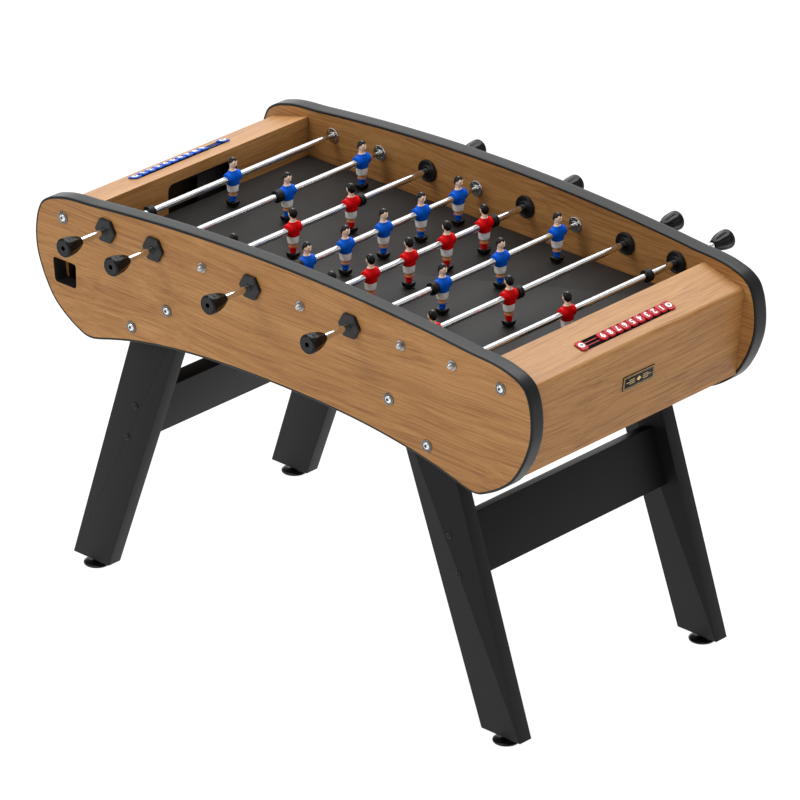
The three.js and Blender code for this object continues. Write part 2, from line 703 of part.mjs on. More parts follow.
function badge() {
  const plate = roundedPolygon([
    [-BADGE_WIDTH / 2, -BADGE_HEIGHT / 2], [BADGE_WIDTH / 2, -BADGE_HEIGHT / 2],
    [BADGE_WIDTH / 2, BADGE_HEIGHT / 2], [-BADGE_WIDTH / 2, BADGE_HEIGHT / 2],
  ], BADGE_CORNER, 2);
  const geometry = prismAlongY(plate, GAP / 2, GAP / 2 + BADGE_THICK);
  geometry.rotateZ(-Math.PI / 2);
  geometry.rotateY(Math.atan(faceLean));
  const faceX = END_FACE_BOTTOM_X + faceLean * (BADGE_Z - END_BOTTOM);
  geometry.translate(faceX, BADGE_SHIFT, BADGE_Z);
  return geometry;
}

addPiece("badge_plate", badge(), "gold");

export default table;
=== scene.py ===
"""Full-size foosball table: the visible surfaces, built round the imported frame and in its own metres."""

import math

import bmesh
import bpy
import numpy as np
from mathutils import Matrix, Vector, geometry


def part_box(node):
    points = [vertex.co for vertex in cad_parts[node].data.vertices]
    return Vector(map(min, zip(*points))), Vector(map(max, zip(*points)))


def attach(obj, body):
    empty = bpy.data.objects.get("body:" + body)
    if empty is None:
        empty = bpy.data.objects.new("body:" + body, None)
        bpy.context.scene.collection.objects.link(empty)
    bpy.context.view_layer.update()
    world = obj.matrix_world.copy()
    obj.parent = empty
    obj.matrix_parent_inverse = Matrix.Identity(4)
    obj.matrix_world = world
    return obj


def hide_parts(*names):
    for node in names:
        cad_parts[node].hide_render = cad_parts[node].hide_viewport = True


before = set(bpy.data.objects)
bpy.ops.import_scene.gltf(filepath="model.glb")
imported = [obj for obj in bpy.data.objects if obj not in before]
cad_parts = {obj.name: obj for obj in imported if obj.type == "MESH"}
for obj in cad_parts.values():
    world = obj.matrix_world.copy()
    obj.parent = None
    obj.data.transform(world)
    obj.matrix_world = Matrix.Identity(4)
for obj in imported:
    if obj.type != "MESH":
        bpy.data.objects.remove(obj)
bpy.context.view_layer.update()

# ---- side panels -----------------------------------------------------------------------------
# Two 38 mm boards faced with oak-grain laminate, cut to a crowned outline with rounded ends and a
# hollowed lower edge. A black rubber band is pressed round the whole rim and laps over both faces.
MM = 0.001


def span(node):
    """Lowest and highest corner of a CAD node in millimetres."""
    low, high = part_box(node)
    return np.array(low) / MM, np.array(high) / MM


def middle(node):
    """Middle of a CAD node's box in millimetres."""
    low, high = span(node)
    return (low + high) / 2


def linear(code, alpha=1.0):
    """The linear colour of an sRGB hex value."""
    srgb = np.array([int(code[i:i + 2], 16) for i in (1, 3, 5)]) / 255
    low, high = srgb / 12.92, ((srgb + 0.055) / 1.055) ** 2.4
    return (*np.where(srgb <= 0.04045, low, high).tolist(), alpha)


def new_finish(name, **socket_shades):
    """A material named for the real finish, its shader's own sockets set to the given values."""
    material = bpy.data.materials.new(name)
    material.use_nodes = True
    shader = material.node_tree.nodes["Principled BSDF"]
    for key, value in socket_shades.items():
        shader.inputs[key.replace("_", " ")].default_value = value
    return material, material.node_tree, shader


def add_node(tree, kind, inputs=None, stops=(), **settings):
    """Adds one node. Inputs are values or other nodes' outputs, stops a ramp's places and colours."""
    made = tree.nodes.new(kind)
    for key, value in settings.items():
        setattr(made, key, value)
    for key, value in (inputs or {}).items():
        if isinstance(value, bpy.types.NodeSocket):
            tree.links.new(value, made.inputs[key])
        else:
            made.inputs[key].default_value = value
    for i, (place, colour) in enumerate(stops):
        marks = made.color_ramp.elements
        mark = marks[i] if i < 2 else marks.new(place)
        mark.position = place
        mark.color = colour
    return made


def grid_faces(rows, cols, wrap_rows=False, wrap_cols=True):
    """Four-sided faces between each point of a grid, row by row, and its next neighbours."""
    r = np.arange(rows if wrap_rows else rows - 1)[:, None]
    c = np.arange(cols if wrap_cols else cols - 1)[None, :]
    r_next, c_next = (r + 1) % rows, (c + 1) % cols
    corners = [r * cols + c, r * cols + c_next, r_next * cols + c_next, r_next * cols + c]
    return np.stack(corners, -1).reshape(-1, 4).tolist()


def join(shells, paints=None):
    """Several shells in one: points one after another, faces counted on, each face with its paint."""
    points, faces, colours, start = [], [], [], 0
    for i, shell in enumerate(shells):
        points.append(shell[0])
        faces += [[corner + start for corner in face] for face in shell[1]]
        given = shell[2] if len(shell) > 2 else [0] * len(shell[1])
        colours += [paints[i]] * len(shell[1]) if paints is not None else list(given)
        start += len(shell[0])
    return np.concatenate(points), faces, colours


def moved(shell, by=(0, 0, 0), scale=(1, 1, 1)):
    """A shell with each point times scale, then moved by a distance."""
    return (shell[0] * np.array(scale) + np.array(by), *shell[1:])


def half_turn(shell):
    """A shell turned half a turn about the table's upright middle line."""
    return moved(shell, scale=(-1, -1, 1))


def add_piece(name, body, shell, finishes, stands_for=(), crease=38):
    """Makes a piece from a shell in millimetres: merges its seams, faces it outwards, rides it."""
    mesh = bpy.data.meshes.new(name)
    mesh.from_pydata((shell[0] * MM).tolist(), [], shell[1])
    for material in finishes:
        mesh.materials.append(material)
    if len(shell) > 2:
        mesh.polygons.foreach_set("material_index", shell[2])
    work = bmesh.new()
    work.from_mesh(mesh)
    bmesh.ops.remove_doubles(work, verts=work.verts, dist=2e-6)
    bmesh.ops.recalc_face_normals(work, faces=work.faces)
    work.to_mesh(mesh)
    work.free()
    mesh.shade_smooth()
    mesh.set_sharp_from_angle(angle=math.radians(crease))
    piece = bpy.data.objects.new(name, mesh)
    bpy.context.scene.collection.objects.link(piece)
    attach(piece, body)
    if stands_for:
        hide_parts(*stands_for)
    return piece


def smooth_loop(keys, count):
    """Closed curve through key points: cubic pieces whose slope at a key is the mean of the two
    chords beside it, each weighted by the other's length, then cut into equal lengths."""
    keys = np.asarray(keys, float)
    before, after = np.roll(keys, 1, 0), np.roll(keys, -1, 0)
    back = np.linalg.norm(keys - before, axis=1)[:, None]
    ahead = np.linalg.norm(after - keys, axis=1)[:, None]
    slope = ((keys - before) / back * ahead + (after - keys) / ahead * back) / (back + ahead)
    t = np.linspace(0, 1, 24, endpoint=False)[None, :, None]
    start, end = (slope * ahead)[:, None], (np.roll(slope, -1, 0) * ahead)[:, None]
    curve = (2 * t**3 - 3 * t**2 + 1) * keys[:, None] + (t**3 - 2 * t**2 + t) * start
    curve = curve + (3 * t**2 - 2 * t**3) * after[:, None] + (t**3 - t**2) * end
    curve = curve.reshape(-1, 2)
    closed = np.vstack([curve, curve[:1]])
    steps = np.linalg.norm(np.diff(closed, axis=0), axis=1)
    length = np.concatenate([[0], np.cumsum(steps)])
    at = np.linspace(0, length[-1], count, endpoint=False)
    return np.stack([np.interp(at, length, closed[:, k]) for k in (0, 1)], -1)


def rounded_loop(corners, radius, steps=6):
    """Polygon whose corners are each a short curve: from, corner and to points blended by squares."""
    corners = np.asarray(corners, float)
    back, ahead = np.roll(corners, 1, 0) - corners, np.roll(corners, -1, 0) - corners
    long_back, long_ahead = np.linalg.norm(back, axis=1), np.linalg.norm(ahead, axis=1)
    reach = np.minimum(radius, np.minimum(long_back, long_ahead) / 2.2)
    start = corners + back * (reach / long_back)[:, None]
    end = corners + ahead * (reach / long_ahead)[:, None]
    t = np.linspace(0, 1, steps + 1)[None, :, None]
    curve = (1 - t) ** 2 * start[:, None] + 2 * t * (1 - t) * corners[:, None] + t**2 * end[:, None]
    return curve.reshape(-1, 2)


def inset(loop, depth):
    """A closed outline moved inwards by depth, along the bisector of the two sides at each point."""
    ahead = np.roll(loop, -1, 0) - loop
    ahead = ahead / np.linalg.norm(ahead, axis=1)[:, None]
    back = np.roll(ahead, 1, 0)
    left = np.stack([-(ahead + back)[:, 1], (ahead + back)[:, 0]], -1)
    left = left / (1 + (ahead * back).sum(1))[:, None]
    following = np.roll(loop, -1, 0)
    area = (loop[:, 0] * following[:, 1] - following[:, 0] * loop[:, 1]).sum()
    return loop + math.copysign(depth, area) * left


def laid(outline, thickness, order):
    """Points from an outline's two values and a thickness, put on the three axes that order names."""
    points = np.zeros((len(outline), 3))
    points[:, order[0]], points[:, order[1]] = outline[:, 0], outline[:, 1]
    points[:, order[2]] = thickness
    return points


FACING_Y = (0, 2, 1)
FACING_X = (1, 2, 0)
FACING_Z = (0, 1, 2)


def holed_plate(front, back, front_at, back_at, order):
    """Flat plate with holes: two triangulated faces, the outline's wall, and darker walls in holes."""
    flat = [[Vector((u, v, 0)) for u, v in loop] for loop in front]
    faces = [list(face) for face in geometry.tessellate_polygon(flat)]
    count = sum(len(loop) for loop in front)
    points = [laid(np.concatenate(front), front_at, order), laid(np.concatenate(back), back_at, order)]
    faces = faces + [[corner + count for corner in face] for face in faces]
    paints = [0] * len(faces)
    start = 0
    for i, loop in enumerate(front):
        here = np.arange(len(loop))
        following = (here + 1) % len(loop)
        wall = np.stack([here, following, following + count, here + count], -1) + start
        faces += wall.tolist()
        paints += [min(i, 1)] * len(wall)
        start += len(loop)
    return np.concatenate(points), faces, paints


def swept_band(loop, profile, order):
    """A closed profile of insets and thickness places, carried round a closed outline."""
    rings = np.stack([laid(inset(loop, depth), at, order) for depth, at in profile])
    return rings.reshape(-1, 3), grid_faces(len(profile), len(loop), wrap_rows=True)


def oak_laminate(name, along, pale, medium, dark, sheen=0.5, shine=0.28):
    """Printed oak decor under satin melamine: fine dark pores, long streaks and the loops of
    growth rings, all stretched along one axis. Scales are turns per metre."""

    def stretched(lengthways, across):
        scale = [across] * 3
        scale[along] = lengthways
        inputs = {"Vector": place, "Scale": scale}
        return add_node(tree, "ShaderNodeMapping", inputs).outputs[0]

    material, tree, shader = new_finish(name, Roughness=sheen, Specular_IOR_Level=shine)
    straight = add_node(tree, "ShaderNodeTexCoord").outputs["Object"]
    # the grain wanders by some 8 mm over a third of a metre
    drift = add_node(tree, "ShaderNodeTexNoise", {"Vector": straight, "Scale": 3.0, "Detail": 1})
    inputs = {0: drift.outputs["Color"], 1: (0.03, 0.03, 0.03), 2: straight}
    place = add_node(tree, "ShaderNodeVectorMath", inputs, operation="MULTIPLY_ADD").outputs[0]
    # streaks 2 mm wide and about 300 mm long
    inputs = {"Vector": stretched(3.2, 420), "Scale": 1, "Detail": 5, "Roughness": 0.6}
    streaks = add_node(tree, "ShaderNodeTexNoise", inputs).outputs["Fac"]
    # broad bands 60 mm wide whose contour lines draw the growth rings
    inputs = {"Vector": stretched(0.8, 16), "Scale": 1, "Detail": 2, "Distortion": 0.2}
    bands = add_node(tree, "ShaderNodeTexNoise", inputs).outputs["Fac"]
    turns = add_node(tree, "ShaderNodeMath", {0: bands, 1: 75.0}, operation="MULTIPLY")
    rings = add_node(tree, "ShaderNodeMath", {0: turns.outputs[0]}, operation="SINE")
    inputs = {"Value": rings.outputs[0], "From Min": -1.0, "From Max": 1.0}
    rings = add_node(tree, "ShaderNodeMapRange", inputs)
    # pores under 1 mm wide, drawn a little coarser than real ones so that they show
    inputs = {"Vector": stretched(38, 900), "Scale": 1, "Detail": 2, "Roughness": 0.5}
    specks = add_node(tree, "ShaderNodeTexNoise", inputs).outputs["Fac"]
    inputs = {"Value": specks, "From Min": 0.58, "From Max": 0.8}
    pores = add_node(tree, "ShaderNodeMapRange", inputs)
    # the figure adds half the streaks, a little of the rings and a fifth of the bands
    figure = add_node(tree, "ShaderNodeMath", {0: streaks, 1: 0.5, 2: 0.1}, operation="MULTIPLY_ADD")
    inputs = {0: rings.outputs[0], 1: 0.05, 2: figure.outputs[0]}
    figure = add_node(tree, "ShaderNodeMath", inputs, operation="MULTIPLY_ADD")
    inputs = {0: bands, 1: 0.22, 2: figure.outputs[0]}
    figure = add_node(tree, "ShaderNodeMath", inputs, operation="MULTIPLY_ADD")
    stops = [(0.38, linear(dark)), (0.485, linear(medium)), (0.6, linear(pale))]
    tone = add_node(tree, "ShaderNodeValToRGB", {0: figure.outputs[0]}, stops=stops)
    inputs = {0: pores.outputs[0], 6: tone.outputs[0], 7: linear(dark)}
    colour = add_node(tree, "ShaderNodeMix", inputs, data_type="RGBA")
    tree.links.new(colour.outputs[2], shader.inputs["Base Color"])
    inputs = {"Value": streaks, "To Min": sheen + 0.06, "To Max": sheen - 0.08}
    gloss = add_node(tree, "ShaderNodeMapRange", inputs)
    tree.links.new(gloss.outputs[0], shader.inputs["Roughness"])
    inputs = {"Height": figure.outputs[0], "Strength": 0.12, "Distance": 0.0004}
    grain = add_node(tree, "ShaderNodeBump", inputs)
    tree.links.new(grain.outputs[0], shader.inputs["Normal"])
    return material


def mottled(name, base, shade, grit_mm, bump_mm, roughness, **socket_shades):
    """Moulded or coated surface: two near tones in a fine grit of that size, which also roughens
    it and lifts it by a few hundredths of a millimetre."""
    material, tree, shader = new_finish(name, Roughness=roughness, **socket_shades)
    place = add_node(tree, "ShaderNodeTexCoord").outputs["Object"]
    inputs = {"Vector": place, "Scale": 1 / (grit_mm * MM), "Detail": 3, "Roughness": 0.6}
    grit = add_node(tree, "ShaderNodeTexNoise", inputs).outputs["Fac"]
    stops = [(0.3, linear(shade)), (0.7, linear(base))]
    tone = add_node(tree, "ShaderNodeValToRGB", {0: grit}, stops=stops)
    tree.links.new(tone.outputs[0], shader.inputs["Base Color"])
    inputs = {"Value": grit, "To Min": roughness + 0.07, "To Max": roughness - 0.05}
    gloss = add_node(tree, "ShaderNodeMapRange", inputs)
    tree.links.new(gloss.outputs[0], shader.inputs["Roughness"])
    inputs = {"Height": grit, "Strength": 0.4, "Distance": bump_mm * MM}
    lift = add_node(tree, "ShaderNodeBump", inputs)
    tree.links.new(lift.outputs[0], shader.inputs["Normal"])
    return material


panel_low, panel_high = span("side_panel_near")
field_low, field_high = span("playfield")
WALL_X = span("end_case_right")[0][0]
FIELD_TOP = field_high[2]
OUTER_Y, INNER_Y = -panel_low[1], -panel_high[1]
PANEL_HALF, CROWN = panel_high[0], panel_high[2]
ARCH_RADIUS = 5500
RIM_ROUND = 3.0
BAND_LAP = 5.5  # width of the band's lap over each face
BAND_LIFT = 0.5  # stands proud of the boards' faces
CORE_INSET = 2.2  # rim of the board itself, under the band
WINDOW_CORNER = 9
RODS = range(1, 9)
ROD_Z = middle("rod1_handle")[2]
ROD_X = [middle(f"rod{i}_handle")[0] for i in RODS]
BLUE_RODS = (1, 2, 4, 6)
MEN = {1: 1, 2: 2, 3: 3, 4: 5, 5: 5, 6: 3, 7: 2, 8: 1}
BARREL_RADIUS = 19.0

ARCH_HALF = PANEL_HALF - 76  # where the arched top gives way to the round end
BELLY_DROP = 251  # from the shoulder to the middle of the hollowed lower edge
arch_x = np.linspace(0, ARCH_HALF, 7)
shoulder = CROWN - ARCH_HALF**2 / (2 * ARCH_RADIUS)
# distance in from the panel's end and down from its shoulder, going round the end and along below
END_KEYS = [
    (42, 12), (21, 28), (9, 52), (2, 83), (0, 115), (3, 147), (13, 181), (32, 222), (57, 259),
    (90, 287), (134, 312), (154, 320), (176, 321.5), (198, 317), (226, 309), (296, 291),
    (376, 276), (486, 262), (606, 254),
]
right_keys = [(x, CROWN - x * x / (2 * ARCH_RADIUS)) for x in arch_x]
right_keys += [(PANEL_HALF - a, shoulder - b) for a, b in END_KEYS] + [(0, shoulder - BELLY_DROP)]
left_keys = [(-x, z) for x, z in right_keys[-2:0:-1]]
rim = smooth_loop(right_keys + left_keys, 460)
rim[:, 0] = np.clip(rim[:, 0], -PANEL_HALF, PANEL_HALF)

around = np.linspace(0, 2 * np.pi, 40, endpoint=False)
circle = np.stack([np.cos(around), np.sin(around)], -1)
window = rounded_loop([
    (-WALL_X - 97, FIELD_TOP - 45), (-WALL_X - 23, FIELD_TOP - 45),
    (-WALL_X - 23, FIELD_TOP - 105), (-WALL_X - 91, FIELD_TOP - 105),
], WINDOW_CORNER)
cuts = [window] + [circle * (BARREL_RADIUS + 0.8) + (ROD_X[i - 1], ROD_Z) for i in BLUE_RODS]
loops = [inset(rim, CORE_INSET)] + cuts
panel_board = holed_plate(loops, loops, -OUTER_Y + BAND_LIFT, -INNER_Y - BAND_LIFT, FACING_Y)

turn = np.linspace(0, np.pi / 2, 5)
half_thick = (OUTER_Y - INNER_Y) / 2
edge_in = RIM_ROUND * (1 - np.sin(turn))
edge_up = half_thick - RIM_ROUND * (1 - np.cos(turn))
side_profile = [(BAND_LAP, half_thick - BAND_LIFT - 0.3), (BAND_LAP, half_thick - 0.2)]
side_profile += list(zip(edge_in, edge_up))
crown_profile = [(0.0, at) for at in (8.0, 0.0, -8.0)]
profile = side_profile + crown_profile + [(a, -b) for a, b in side_profile[::-1]]
profile += [(CORE_INSET - 0.2, BAND_LIFT - half_thick), (CORE_INSET - 0.2, half_thick - BAND_LIFT)]
band_profile = [(a, b - OUTER_Y + half_thick) for a, b in profile]
panel_band = swept_band(rim, band_profile, FACING_Y)

oak_lengthways = oak_laminate("oak_laminate_satin", 0, "#b28450", "#a3733f", "#845830")
# sawn edges inside the cuts are stained near black
sawn_edge = mottled("stained_sawn_edge", "#1a1511", "#0f0c0a", 1.5, 0.05, 0.7)
# calendered rubber: nearly smooth, so its top catches a broad pale sheen
rubber_band = mottled("rubber_edge_band", "#1a1b1c", "#151617", 1.2, 0.03, 0.32, Specular_IOR_Level=0.2)

for side, turned_round in (("near", False), ("far", True)):
    for part, shell, finishes in (
        ("board", panel_board, [oak_lengthways, sawn_edge]),
        ("band", panel_band, [rubber_band]),
    ):
        placed = half_turn(shell) if turned_round else shell
        stands_for = [f"side_panel_{side}"] if part == "board" else []
        add_piece(f"panel_{part}_{side}", "table", placed, finishes, stands_for)

# ---- panel bolts and cap nuts ----------------------------------------------------------------
# Chromed button-head bolts in cup washers tie the panels to the ends and legs; a domed cap nut
# closes the end of each rod's fixed bar on the panel opposite its handle.


def turned(profile, sides=40, closed=False):
    """A profile of (radius, outward) points carried round the Y axis, outwards being -Y."""
    profile = np.asarray(profile, float)
    a = np.linspace(0, 2 * np.pi, sides, endpoint=False)
    r, out = profile[:, 0][:, None], profile[:, 1][:, None]
    points = np.stack([r * np.cos(a), -out + 0 * a, r * np.sin(a)], -1)
    return points.reshape(-1, 3), grid_faces(len(profile), sides, wrap_rows=closed)


def dome(radius, base, rise, steps=6):
    """Profile points of a domed head: its edge at base, its crown higher by rise."""
    a = np.linspace(0, np.pi / 2, steps)
    return [(radius * math.cos(t), base + rise * math.sin(t)) for t in a]


def brushed_chrome(name, base, roughness):
    """Bright chromium plate: mirror-like, with faint cloudy fingermarks in its gloss."""
    material, tree, shader = new_finish(name, Metallic=1.0, Roughness=roughness)
    place = add_node(tree, "ShaderNodeTexCoord").outputs["Object"]
    inputs = {"Vector": place, "Scale": 70, "Detail": 4}
    cloud = add_node(tree, "ShaderNodeTexNoise", inputs).outputs["Fac"]
    stops = [(0.35, linear(base[0])), (0.7, linear(base[1]))]
    tone = add_node(tree, "ShaderNodeValToRGB", {0: cloud}, stops=stops)
    tree.links.new(tone.outputs[0], shader.inputs["Base Color"])
    inputs = {"Value": cloud, "To Min": roughness * 0.6, "To Max": roughness * 1.6}
    gloss = add_node(tree, "ShaderNodeMapRange", inputs)
    tree.links.new(gloss.outputs[0], shader.inputs["Roughness"])
    return material


chrome = brushed_chrome("bright_chrome_plate", ("#dddee0", "#f0f1f2"), 0.2)
nickel = brushed_chrome("nickel_plated_nut", ("#a4a5a6", "#bdbebf"), 0.2)
zinc = brushed_chrome("zinc_plated_washer", ("#717274", "#8b8c8e"), 0.3)
# black oxide for the legs' real bolts; the same black also paints the shade in sockets, slots and screw
# crosses
black_oxide_and_shade = mottled("black_oxide_steel_and_shade", "#141415", "#0e0e0f", 1.0, 0.02, 0.45, Specular_IOR_Level=0.3)

BOLT_PLACES = [(664.5, 883.0), (451.6, 678.4), (338.6, 753.3)]
cup_washer = [
    (9.0, 0.3), (13.8, 0.3), (14.2, 0.9), (13.6, 2.4),
    (12.2, 2.9), (11.2, 2.0), (10.8, 0.9), (9.0, 0.7),
]
button_head = [(0, 0.2), (8.6, 0.2), (9.0, 1.6)] + dome(8.8, 2.0, 3.4, 8)[:-2]
button_head += [(4.0, button_head[-1][1]), (4.0, 2.6), (0, 2.4)]
bolt = join([turned(cup_washer, closed=True), turned(button_head)], [2, 0])
# a thin black hexagon in each head's shallow recess: painted shade standing for the hex socket's depth
socket = turned([(0, 2.5), (3.9, 2.5), (3.9, 3.0), (0, 3.0)], 6)
nut_body = [(0, 1.6), (8.6, 1.6), (9.0, 2.2), (9.0, 7.2), (8.2, 8.0), (0, 8.0)]
nut_washer = [(0, 0.2), (11.5, 0.2), (11.8, 0.6), (11.5, 1.6), (0, 1.6)]
nut_dome = [(0, 7.9)] + dome(7.4, 8.0, 6.0)[:-1] + [(0, 14.0)]
cap_nut = join([turned(nut_washer), turned(nut_body, 6), turned(nut_dome)])


def on_outer_face(shell, x, z, far):
    """A fitting made to point along -Y, set on the near panel's outer face, or the far one's."""
    return moved(shell, (x, OUTER_Y if far else -OUTER_Y, z), (1, -1 if far else 1, 1))


for side, far in (("near", False), ("far", True)):
    mirror = [(sx * x, z) for x, z in BOLT_PLACES for sx in (-1, 1)]
    heads = [on_outer_face(bolt, x, z, far) for x, z in mirror]
    socket_shades = [on_outer_face(socket, x, z, far) for x, z in mirror]
    dark = join(socket_shades, [1] * len(socket_shades))
    fittings = [chrome, black_oxide_and_shade, zinc]
    add_piece(f"panel_bolts_{side}", "table", join(heads + [dark]), fittings, crease=30)
    ends = [i for i in RODS if (i in BLUE_RODS) == far]
    nuts = [on_outer_face(cap_nut, ROD_X[i - 1], ROD_Z, far) for i in ends]
    add_piece(f"cap_nuts_{side}", "table", join(nuts), [nickel], crease=30)

# ---- playfield -------------------------------------------------------------------------------
# A 20 mm board faced with plain dark grey laminate, laid between the panels and the goal walls.
# Its satin face shows a soft reflection and faint rub marks from the ball.


def ring_stack(rows, count):
    """Faces of rows of rings, count points in each, closed by a flat face at either end."""
    total = rows * count
    return grid_faces(rows, count) + [list(range(count)), list(range(total - count, total))]


def stepped(loop, rings, order):
    """Solid from one outline: a ring of it for each pair of inset and thickness place."""
    points = [laid(inset(loop, d) if d > 0 else loop, at, order) for d, at in rings]
    return np.concatenate(points), ring_stack(len(rings), len(loop))


def plate(loop, low, high, ease, order, steps=3):
    """Plate cut to an outline with quarter-round edges: rings of the outline stepped in and up by
    ease times one minus sine and cosine, closed by two flat faces."""
    a = np.linspace(0, np.pi / 2, steps + 1)
    depth, rise = ease * (1 - np.sin(a)), ease * (1 - np.cos(a))
    rings = list(zip(depth, low + rise)) + list(zip(depth[::-1], (high - rise)[::-1]))
    return stepped(loop, rings, order)


def rectangle(u0, u1, v0, v1, corner=1.0, steps=3):
    """Outline of a rectangle with eased corners."""
    return rounded_loop([(u0, v0), (u1, v0), (u1, v1), (u0, v1)], corner, steps)


laminate, tree, shader = new_finish("dark_laminate_satin", Roughness=0.5, Specular_IOR_Level=0.14)
place = add_node(tree, "ShaderNodeTexCoord").outputs["Object"]
inputs = {"Vector": place, "Scale": 2.2, "Detail": 3, "Roughness": 0.5}
clouds = add_node(tree, "ShaderNodeTexNoise", inputs).outputs["Fac"]
inputs = {"Vector": place, "Scale": 900, "Detail": 2}
dust = add_node(tree, "ShaderNodeTexNoise", inputs).outputs["Fac"]
blend = add_node(tree, "ShaderNodeMath", {0: clouds, 1: 0.6, 2: 0.0}, operation="MULTIPLY_ADD")
inputs = {0: dust, 1: 0.4, 2: blend.outputs[0]}
blend = add_node(tree, "ShaderNodeMath", inputs, operation="MULTIPLY_ADD")
stops = [(0.35, linear("#282726")), (0.65, linear("#2e2d2c"))]
tone = add_node(tree, "ShaderNodeValToRGB", {0: blend.outputs[0]}, stops=stops)
tree.links.new(tone.outputs[0], shader.inputs["Base Color"])
inputs = {"Value": clouds, "To Min": 0.54, "To Max": 0.46}
gloss = add_node(tree, "ShaderNodeMapRange", inputs)
tree.links.new(gloss.outputs[0], shader.inputs["Roughness"])
inputs = {"Height": dust, "Strength": 0.15, "Distance": 0.00005}
tree.links.new(add_node(tree, "ShaderNodeBump", inputs).outputs[0], shader.inputs["Normal"])

field_outline = rectangle(field_low[0], field_high[0], field_low[1], field_high[1])
field = plate(field_outline, field_low[2], FIELD_TOP, 0.8, FACING_Z)
add_piece("playfield_board", "table", field, [laminate], ["playfield"])

# ---- end cases -------------------------------------------------------------------------------
# Each end is a hollow case of 18 mm oak-grain boards: a sloping top with a rounded nose, an outer
# face that leans in, a floor, and a goal wall mitred to the top, with a black-lined goal mouth.
case_low, case_high = span("end_case_right")
TOP_DROP = 0.255  # fall of the top per mm outwards
NOSE_RADIUS, NOSE_STEPS = 12, 10
BOARD = 18.0
CASE_TOP, CASE_FLOOR = case_high[2], case_low[2]
CASE_HALF_WIDTH = case_high[1]
TOP_DEPTH, BASE_DEPTH = 118.0, 98.0
LEAN = (TOP_DEPTH - BASE_DEPTH) / (CASE_TOP - TOP_DROP * TOP_DEPTH - CASE_FLOOR)


def case_corners(depth):
    """Corners of the case's section, every board face moved inwards by depth: wall foot, outer
    foot, nose, wall top."""
    wall, floor = WALL_X + depth, CASE_FLOOR + depth
    drop, shift = depth * math.hypot(1, TOP_DROP), depth * math.hypot(1, LEAN)
    foot = WALL_X + BASE_DEPTH + LEAN * depth - shift
    level = CASE_TOP - drop
    nose_x = (level + TOP_DROP * WALL_X - floor + foot / LEAN) / (TOP_DROP + 1 / LEAN)
    nose_z = level - TOP_DROP * (nose_x - WALL_X)
    return [(wall, floor), (foot, floor), (nose_x, nose_z), (wall, level - TOP_DROP * depth)]


outside, inside = case_corners(0), case_corners(BOARD)
nose = rounded_loop(outside, NOSE_RADIUS, NOSE_STEPS).reshape(4, NOSE_STEPS + 1, 2)[2]
section = np.array([*outside[:2], *nose, outside[3], *inside[::-1]])
ends = [laid(section, at, FACING_Y) for at in (-CASE_HALF_WIDTH, CASE_HALF_WIDTH)]
# one strip of faces per point of the section, then the two closing faces: the top's paler copy of the
# oak, painted sheen of the overhead light, starts on the nose's last four strips, and the three
# boards' inner faces take the unfaced board darkened with painted shade
TOP_STRIP, INNER_STRIPS = 2 + NOSE_STEPS, 4 + NOSE_STEPS
face_paints = [0] * (len(section) + 2)
face_paints[TOP_STRIP - 4:TOP_STRIP + 1] = [1] * 5
face_paints[INNER_STRIPS:INNER_STRIPS + 3] = [2] * 3
case_shell = (np.concatenate(ends), ring_stack(2, len(section)), face_paints)

GOAL_HALF, GOAL_TOP, GOAL_CORNER, GOAL_SUNK = 112.0, CASE_TOP - 27.5, 20, 40
mouth = rounded_loop([
    (-GOAL_HALF, FIELD_TOP - GOAL_SUNK), (GOAL_HALF, FIELD_TOP - GOAL_SUNK),
    (GOAL_HALF, GOAL_TOP), (-GOAL_HALF, GOAL_TOP),
], GOAL_CORNER, 8)


def wall_outline(foot, top):
    """The goal wall's outline, between the two panels."""
    y = CASE_HALF_WIDTH
    return np.array([(-y, foot), (y, foot), (y, top), (-y, top)])


front = [wall_outline(outside[0][1], outside[3][1]), mouth]
back = [wall_outline(inside[0][1], inside[3][1]), mouth]
goal_wall = holed_plate(front, back, WALL_X, WALL_X + BOARD, FACING_X)
# the goal wall's back face, inside the case, takes the same darkened board: painted shade
one_side = len(geometry.tessellate_polygon([[Vector((u, v, 0)) for u, v in loop] for loop in front]))
goal_wall[2][one_side:2 * one_side] = [1] * one_side

# moulded liner: a thin sleeve through the wall, with a narrow lip on the playing side
LINER, LIP, LIP_WIDTH = 2.2, 1.2, 5.0
liner_profile = [
    (0.2, BOARD + 3), (0.2, -0.1), (-LIP_WIDTH, -0.1), (-LIP_WIDTH, -LIP * 0.6),
    (-LIP_WIDTH + 0.8, -LIP), (LINER - 0.8, -LIP), (LINER, -LIP * 0.6), (LINER, BOARD + 3),
]
liner = swept_band(mouth, [(a, WALL_X + b) for a, b in liner_profile], FACING_X)

# bent sheet that turns the ball from the mouth down to the gutter, and the gutter itself
GUTTER_HALF, GUTTER_ROWS = CASE_HALF_WIDTH - 3, 24
GUTTER_FALL, GUTTER_THICK = 7.0, 2.0
gutter_y = np.linspace(-GUTTER_HALF, GUTTER_HALF, GUTTER_ROWS)[:, None]
fall = np.linspace(GUTTER_FALL, 0, GUTTER_ROWS)[:, None]
trough = np.array([
    (24, 0), (28, -22), (34, -31), (44, -36), (56, -37), (68, -35), (76, -28), (80, 0),
])
skin = np.concatenate([trough, trough[::-1] - [0, GUTTER_THICK]])
gutter_x = WALL_X + skin[:, 0] - 0.2 * np.abs(skin[:, 1]) + 0 * gutter_y
gutter_z = CASE_FLOOR + 62 + skin[:, 1] - fall
gutter_points = np.stack([gutter_x, gutter_y + 0 * gutter_x, gutter_z], -1).reshape(-1, 3)
gutter = (gutter_points, ring_stack(GUTTER_ROWS, len(skin)))

